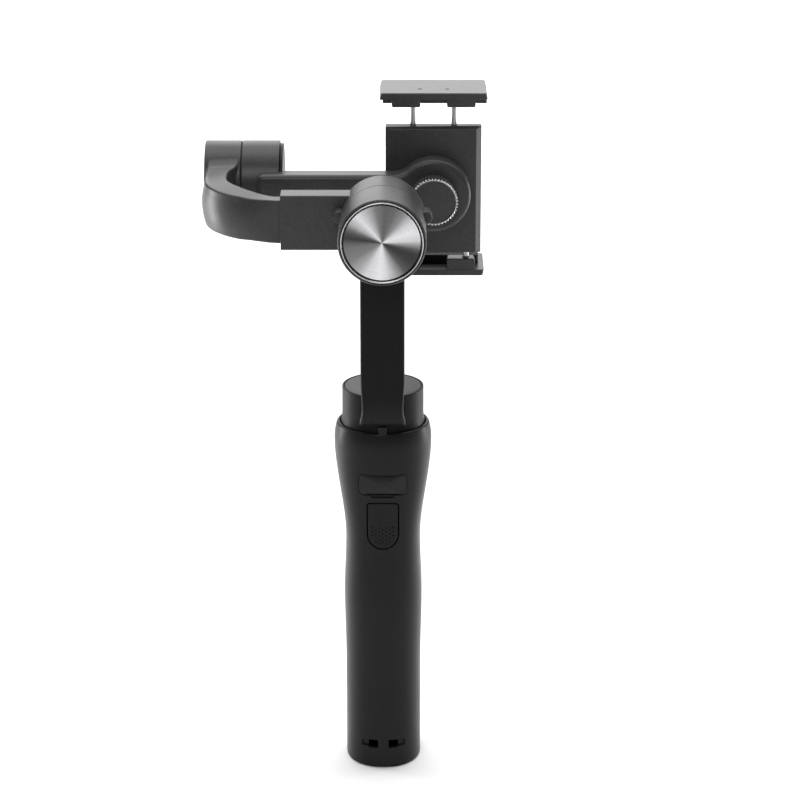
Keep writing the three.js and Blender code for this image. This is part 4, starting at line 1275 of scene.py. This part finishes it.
def clamp_knob():
    front, back = KNOB.low.y, KNOB.high.y

    def flutes(angle, radius):
        depth = 0.6 if radius > KNOB_RADIUS - 0.6 else 0
        return radius - depth * (0.5 + 0.5 * math.cos(FLUTES * angle)) ** 1.5

    profile = [(0, front + 0.25), (KNOB_RADIUS - 1.4, front + 0.25, 0.2), (KNOB_RADIUS - 1.1, front, 0.15),
               (KNOB_RADIUS - 0.35, front, 0.25), (KNOB_RADIUS, front + 0.5, 0.3),
               (KNOB_RADIUS, back - 1.8, 0.2),
               (KNOB_RADIUS - 0.9, back - 1.5, 0.2), (KNOB_RADIUS - 0.9, back, 0.2),
               (PIVOT_RADIUS + GAP, back, 0.2), (PIVOT_RADIUS + GAP, 30.7, 0), (0, 30.7)]
    line = soften(profile, 0.2, closed=False)
    publish(turned("clamp_knob_fine", "y", CLAMP_AXIS, line, FLUTES * 8, flutes), "clamp_knob")
    # A thin rim on the knob's front edge: its chamfer catches real overhead light, and its bright steel
    # colour, lighter than the knob, is a painted highlight of the edge's serrated glint.
    rim = [(KNOB_RADIUS - 0.95, front + 0.2, 0), (KNOB_RADIUS - 0.9, front - 0.06, 0.05),
           (KNOB_RADIUS - 0.3, front - 0.06, 0.1), (KNOB_RADIUS - 0.02, front + 0.3, 0)]
    edge = turned("clamp_knob_painted_glint_rim", "y", CLAMP_AXIS, soften(rim, 0.05), FLUTES * 8,
                  lambda angle, radius: flutes(angle, radius) + 0.04)
    publish(edge, like="clamp_knob", slot="bright_steel")
    pivot = [(0, 31), (PIVOT_RADIUS, 31, 0.4), (PIVOT_RADIUS, 52.8, 0.1), (7, 52.8, 0.2), (7, 54, 0.2),
             (0, 54)]
    pivot = turned("clamp_pivot_fine", "y", CLAMP_AXIS, soften(pivot, 0.3, closed=False), MEDIUM)
    publish(pivot, "clamp_pivot")


CLAMP = Span("clamp_front_cover")
ROD_Y = Span("upper_rod_left").centre.y
UPPER_ROD = {"radius": 1.2, "offset": Span("upper_rod_right").centre.x - BOSS_X}
LOWER_ROD = {"radius": 1.35, "offset": Span("lower_rod_right").centre.x - BOSS_X}
CHAMFER = 2.4


def clamp_cover():
    """Chamfered sides, the right one steeper, and four very shallow facets that meet under the boss."""
    left, right = CLAMP.low.x, CLAMP.high.x
    bottom, top = CLAMP.low.z, CLAMP.high.z
    front, back = CLAMP.low.y, CLAMP.high.y
    shallow = 0.55
    left_depth, right_depth = 1.6, 3.4

    def frame_at(side_in, end_in, left_y, right_y):
        return [(left + side_in, left_y, bottom + end_in), (right - side_in, right_y, bottom + end_in),
                (right - side_in, right_y, top - end_in), (left + side_in, left_y, top - end_in)]

    rings = [frame_at(0, 0, back, back), frame_at(0, 0, front + left_depth, front + right_depth),
             frame_at(CHAMFER, 0.9, front + shallow, front + shallow)]
    cover = stack("clamp_front_cover_fine", rings, end_pole=(BOSS_X, front, BOSS_Z))
    soft_rims(cover, 0.22, 12, 3)
    cavity = brick("h", (left + WALL, right - WALL - 0.6), (front + 1.8, back + 1),
                   (bottom + 2.2, top - 2.2), corner=0)
    bore = turned("h", "y", CLAMP_AXIS, [(0, 45), (4.8, 45), (4.8, 54), (0, 54)], MEDIUM)
    holes = rod_bores(UPPER_ROD, top - 5, top + 5) + rod_bores(LOWER_ROD, bottom - 5, bottom + 5)
    publish(cut(cover, cavity, bore, *holes), "clamp_front_cover", angle=8)


def clamp_back():
    plate = Span("clamp_back_plate")
    outline = rounded_box(plate.low.x, plate.high.x, plate.low.z, plate.high.z, 1.5)
    body = pushed("clamp_back_plate_fine", "y", outline, plate.low.y, plate.high.y, 0.25)
    screws = [turned("h", "y", (BOSS_X + sx * 17.6, 0, BOSS_Z + sz * 24.6),
                     [(0, 58.2), (1.5, 58.2), (1.5, 60), (0, 60)], SMALL) for sx in (-1, 1) for sz in (-1, 1)]
    publish(cut(body, *screws), "clamp_back_plate")
    pad = Span("clamp_back_pad")
    outline = rounded_box(pad.low.x, pad.high.x, pad.low.z, pad.high.z, 3)
    rubber_pad = pushed("clamp_back_pad_fine", "y", outline, pad.low.y, pad.high.y, 0.1, 0.3)
    across, deep = (pad.low.x + 3, pad.high.x - 3), (pad.high.y - 0.35, pad.high.y + 1)
    grooves = [brick("g", across, deep, (z - 0.5, z + 0.5), 0, 0.4)
               for z in [pad.low.z + 4 + 3.4 * k for k in range(12)]]
    publish(cut(rubber_pad, *grooves), "clamp_back_pad")
    for sx in (-1, 1):
        for sz, row in ((-1, "low"), (1, "high")):
            centre = (BOSS_X + sx * 17.6, 0, BOSS_Z + sz * 24.6)
            head = [(0, 58.3), (1.2, 58.3, 0), (1.2, 58.75, 0.2), (0, 58.8)]
            screw = turned("s", "y", centre, soften(head, 0.1, closed=False), SMALL)
            bits = [brick("k", (centre[0] - a, centre[0] + a), (58.5, 60),
                          (centre[2] - b, centre[2] + b), corner=0)
                    for a, b in ((0.8, 0.16), (0.16, 0.8))]
            cut(screw, *bits)
            screw.name = f"clamp_screw_{row}_{'left' if sx < 0 else 'right'}"
            publish(screw, like="clamp_back_plate", slot="bright_steel")


UPPER = Span("upper_jaw")
LOWER = Span("lower_jaw")
PLATE = Span("upper_jaw_plate")


def rod_bores(rod, start, end):
    reach = rod["radius"] + GAP
    return [turned("h", "z", (BOSS_X + side * rod["offset"], ROD_Y, 0),
                   [(0, start), (reach, start), (reach, end), (0, end)], SMALL) for side in (-1, 1)]


def jaw_lip(name, jaw, z_from, z_to):
    """The rim that hooks over the phone's face."""
    low, high = min(z_from, z_to), max(z_from, z_to)
    outline = rounded_box(jaw.low.x + 3, jaw.high.x - 3, jaw.high.y - 3, jaw.high.y, 1.2, 6)
    return pushed(name, "z", outline, low, high, 0.5)


def jaw_plate(name, jaw, low, high, low_half, high_half, corner, edge):
    """A jaw's plate, whose ends lean from one half-width to the other."""
    widest = max(low_half, high_half)
    outline = rounded_box(BOSS_X - widest, BOSS_X + widest, jaw.low.y, jaw.high.y, corner)
    plate = pushed(name, "z", outline, low, high, edge)
    for vertex in plate.data.vertices:
        t = (vertex.co.z - low) / (high - low)
        vertex.co.x = BOSS_X + (vertex.co.x - BOSS_X) * (low_half + (high_half - low_half) * t) / widest
    return plate


def jaw_feet(jaw, inner, outer, root, end, corner):
    feet = []
    for side in (-1, 1):
        x0, x1 = sorted((BOSS_X + side * inner, BOSS_X + side * outer))
        low, high = min(root, end), max(root, end)
        rounded = {end: corner, root: 0}
        outline = soften([(x0, low, rounded[low]), (x1, low, rounded[low]),
                          (x1, high, rounded[high]), (x0, high, rounded[high])], corner)
        feet.append(pushed("f", "y", outline, jaw.low.y + 0.2, jaw.low.y + 6.8, 0.5))
    return feet


def upper_jaw():
    top = PLATE.high.z - 0.1
    inside = top - 3.0
    foot_end = top - 6.35
    plate = jaw_plate("upper_jaw_fine", UPPER, inside, top, 23.4, 22.7, 1.2, 0.3)
    feet = jaw_feet(UPPER, 5.7, 18.1, inside + 0.8, foot_end, 1.0)
    tie = brick("t", (BOSS_X - 22, BOSS_X + 23), (53, 54.8), (inside - 1.9, inside + 0.5), 0.2, 0.3)
    body = weld(plate, *feet, tie, jaw_lip("l", UPPER, UPPER.low.z, top - 1))
    back = PLATE.high.y
    recess = brick("h", (UPPER.low.x - 1, UPPER.high.x + 1), (UPPER.low.y - 1, back + GAP),
                   (top - 0.5, top + 1), 0, 0)

    def slots():
        return [brick("h", (x - 0.9, x + 0.9), (58, 59.5), (top - 2, top + 1), 0, 0.3)
                for x in (BOSS_X - 5.9, BOSS_X + 5.9)]

    publish(cut(body, recess, *slots(), *rod_bores(UPPER_ROD, foot_end - 1, inside)), "upper_jaw")
    outline = rounded_box(BOSS_X - 22.8, BOSS_X + 22.8, UPPER.low.y + 0.05, back, 0.8)
    cover = pushed("upper_jaw_plate_fine", "z", outline, top - 0.45, top + 0.1, 0.12)
    publish(cut(cover, *slots()), "upper_jaw_plate")


def lower_jaw():
    bottom = LOWER.low.z
    inside = bottom + 2.7
    foot_end = bottom + 7.6
    plate = jaw_plate("lower_jaw_fine", LOWER, bottom, inside, 21.9, 22.4, 1.5, 0.25)
    feet = jaw_feet(LOWER, 6.0, 18.3, inside - 1, foot_end, 1.4)
    body = weld(plate, *feet, jaw_lip("l", LOWER, bottom + 1, LOWER.high.z))
    publish(cut(body, *rod_bores(LOWER_ROD, bottom + 0.6, foot_end + 1)), "lower_jaw")


def jaw_pads():
    for node in ("upper_jaw_pad", "lower_jaw_pad"):
        span = Span(node)
        outline = rounded_box(span.low.x, span.high.x, span.low.y, span.high.y, 1.5)
        upper = node.startswith("upper")
        pad = pushed(node + "_fine", "z", outline, span.low.z, span.high.z, 0.3)
        face = span.low.z if upper else span.high.z
        along, deep = (span.low.y + 1.5, span.high.y - 1.5), (face - 0.3, face + 0.3)
        ribs = [brick("g", (x - 0.45, x + 0.45), along, deep, 0, 0.4)
                for x in [span.low.x + 3 + 2.0 * k for k in range(18)]]
        publish(cut(pad, *ribs), node)


def jaw_rods():
    collar_radius, collar_length = 1.9, 1.5
    for row, radius in (("upper", UPPER_ROD["radius"]), ("lower", LOWER_ROD["radius"])):
        for side in ("left", "right"):
            node = f"{row}_rod_{side}"
            span = Span(node)
            low, high = span.low.z, span.high.z
            if row == "upper":
                line = [(0, low), (collar_radius, low, 0.15), (collar_radius, low + collar_length, 0.15),
                        (radius, low + collar_length, 0), (radius, high, 0.2), (0, high)]
            else:
                line = [(0, low), (radius, low, 0.2), (radius, high - collar_length, 0),
                        (collar_radius, high - collar_length, 0.15), (collar_radius, high, 0.15), (0, high)]
            centre = (span.centre.x, span.centre.y, 0)
            publish(turned(node + "_fine", "z", centre, soften(line, 0.15, closed=False), SMALL), node)


def jaw_springs():
    turns = 11
    wire = 0.2
    for row, joint, anchor in (("upper", "upper_jaw_slide", 1), ("lower", "lower_jaw_slide", 0)):
        for side in ("left", "right"):
            node = f"{row}_spring_{side}"
            span = Span(node)
            coil_radius = span.size.y / 2 - wire
            low, high = span.low.z + wire, span.high.z - wire
            steps = turns * 20
            rings = []
            for i in range(steps + 1):
                t = i / steps
                angle = 2 * math.pi * turns * t
                out = Vector((math.cos(angle), math.sin(angle), 0))
                middle = Vector((span.centre.x, span.centre.y, low + (high - low) * t)) + out * coil_radius
                rings.append([tuple(middle + out * wire * math.cos(a) + Vector((0, 0, wire * math.sin(a))))
                              for a in [2 * math.pi * k / 8 for k in range(8)]])
            coil = stack(node + "_fine", rings)
            publish(coil, node)
            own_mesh(coil)


# ------------------------------------------------------------------ inside pieces

INSIDE = ("battery_cell", "main_board", "trigger_switch", "pan_stator", "pan_magnet_ring", "pan_shaft",
          "roll_motor_board", "roll_stator", "roll_magnet_ring", "roll_shaft", "tilt_stator",
          "tilt_magnet_ring", "tilt_shaft")


def carried_over():
    """CAD pieces that keep their shape get the material of their slot."""
    for node in INSIDE:
        obj = frame["nodes"][node]
        obj.data.materials.clear()
        obj.data.materials.append(MATERIALS[NODE_SLOT[node]])


# ------------------------------------------------------------------ studio


def studio():
    size = 8.0
    corners = [(-size, -size, 0), (size, -size, 0), (size, size, 0), (-size, size, 0)]
    floor = make("floor", corners, [(0, 1, 2, 3)])
    look = Nodes("floor_paper")
    soft = look.noise(3, 2.0)
    look.colour(look.ramp(soft, ((0.3, (0.92, 0.92, 0.92)), (0.7, (0.94, 0.94, 0.94)))))
    look.set(roughness=0.9, specular=0.1)
    floor.data.materials.append(look.material)

    world = bpy.data.worlds.new("studio")
    world.use_nodes = True
    background = world.node_tree.nodes["Background"]
    background.inputs["Color"].default_value = (1, 1, 1, 1)
    background.inputs["Strength"].default_value = 0.12
    bpy.context.scene.world = world

    middle = Vector((0, 0, 0.2))

    def softbox(name, place, power, width, height, target=middle):
        light = bpy.data.lights.new(name, "AREA")
        light.shape = "RECTANGLE"
        light.size = width
        light.size_y = height
        light.energy = power
        obj = bpy.data.objects.new(name, light)
        obj.location = place
        obj.rotation_euler = (target - Vector(place)).to_track_quat("-Z", "Y").to_euler()
        obj.visible_camera = False
        bpy.context.scene.collection.objects.link(obj)

    softbox("backdrop", (0.0, 1.5, 2.0), 85, 4.0, 3.0, Vector((0, 1.5001, 0)))
    softbox("back_wall", (0.0, 2.2, 1.0), 16, 1.7, 1.4)
    softbox("left_strip", (-0.5, 0.25, 0.16), 1.6, 0.12, 0.32, Vector((0, 0, 0.1)))
    softbox("right_strip", (0.5, 0.25, 0.16), 1.1, 0.12, 0.32, Vector((0, 0, 0.1)))
    softbox("front_fill", (-0.3, -1.3, 1.3), 9, 0.7, 0.7)
    sky = bpy.data.lights.new("overhead", "SUN")
    sky.energy = 0.8
    sky.angle = math.radians(50)
    obj = bpy.data.objects.new("overhead", sky)
    obj.location = (0, 0, 2)
    bpy.context.scene.collection.objects.link(obj)


def camera():
    view = bpy.data.cameras.new("camera")
    view.sensor_width = 36
    view.lens = 130.5
    view.clip_start = 0.05
    obj = bpy.data.objects.new("camera", view)
    obj.location = (0.0073, -1.1727, 0.5610)
    obj.rotation_euler = (math.radians(71.3), 0, 0)
    bpy.context.scene.collection.objects.link(obj)
    bpy.context.scene.camera = obj
    bpy.context.scene.view_settings.view_transform = "Standard"


# ------------------------------------------------------------------ the whole object

camera()
handle_shells()
trigger_piece()
port_cover_piece()
sockets()
control_panel()
joystick()
buttons()
base()
pan_motor()
vertical_arm()
roll_motor()
roll_rotor()
arm_lock_screw()
curved_arm()
tilt_motor()
tilt_arm()
clamp_knob()
clamp_cover()
clamp_back()
upper_jaw()
lower_jaw()
jaw_pads()
jaw_rods()
jaw_springs()
carried_over()
studio()
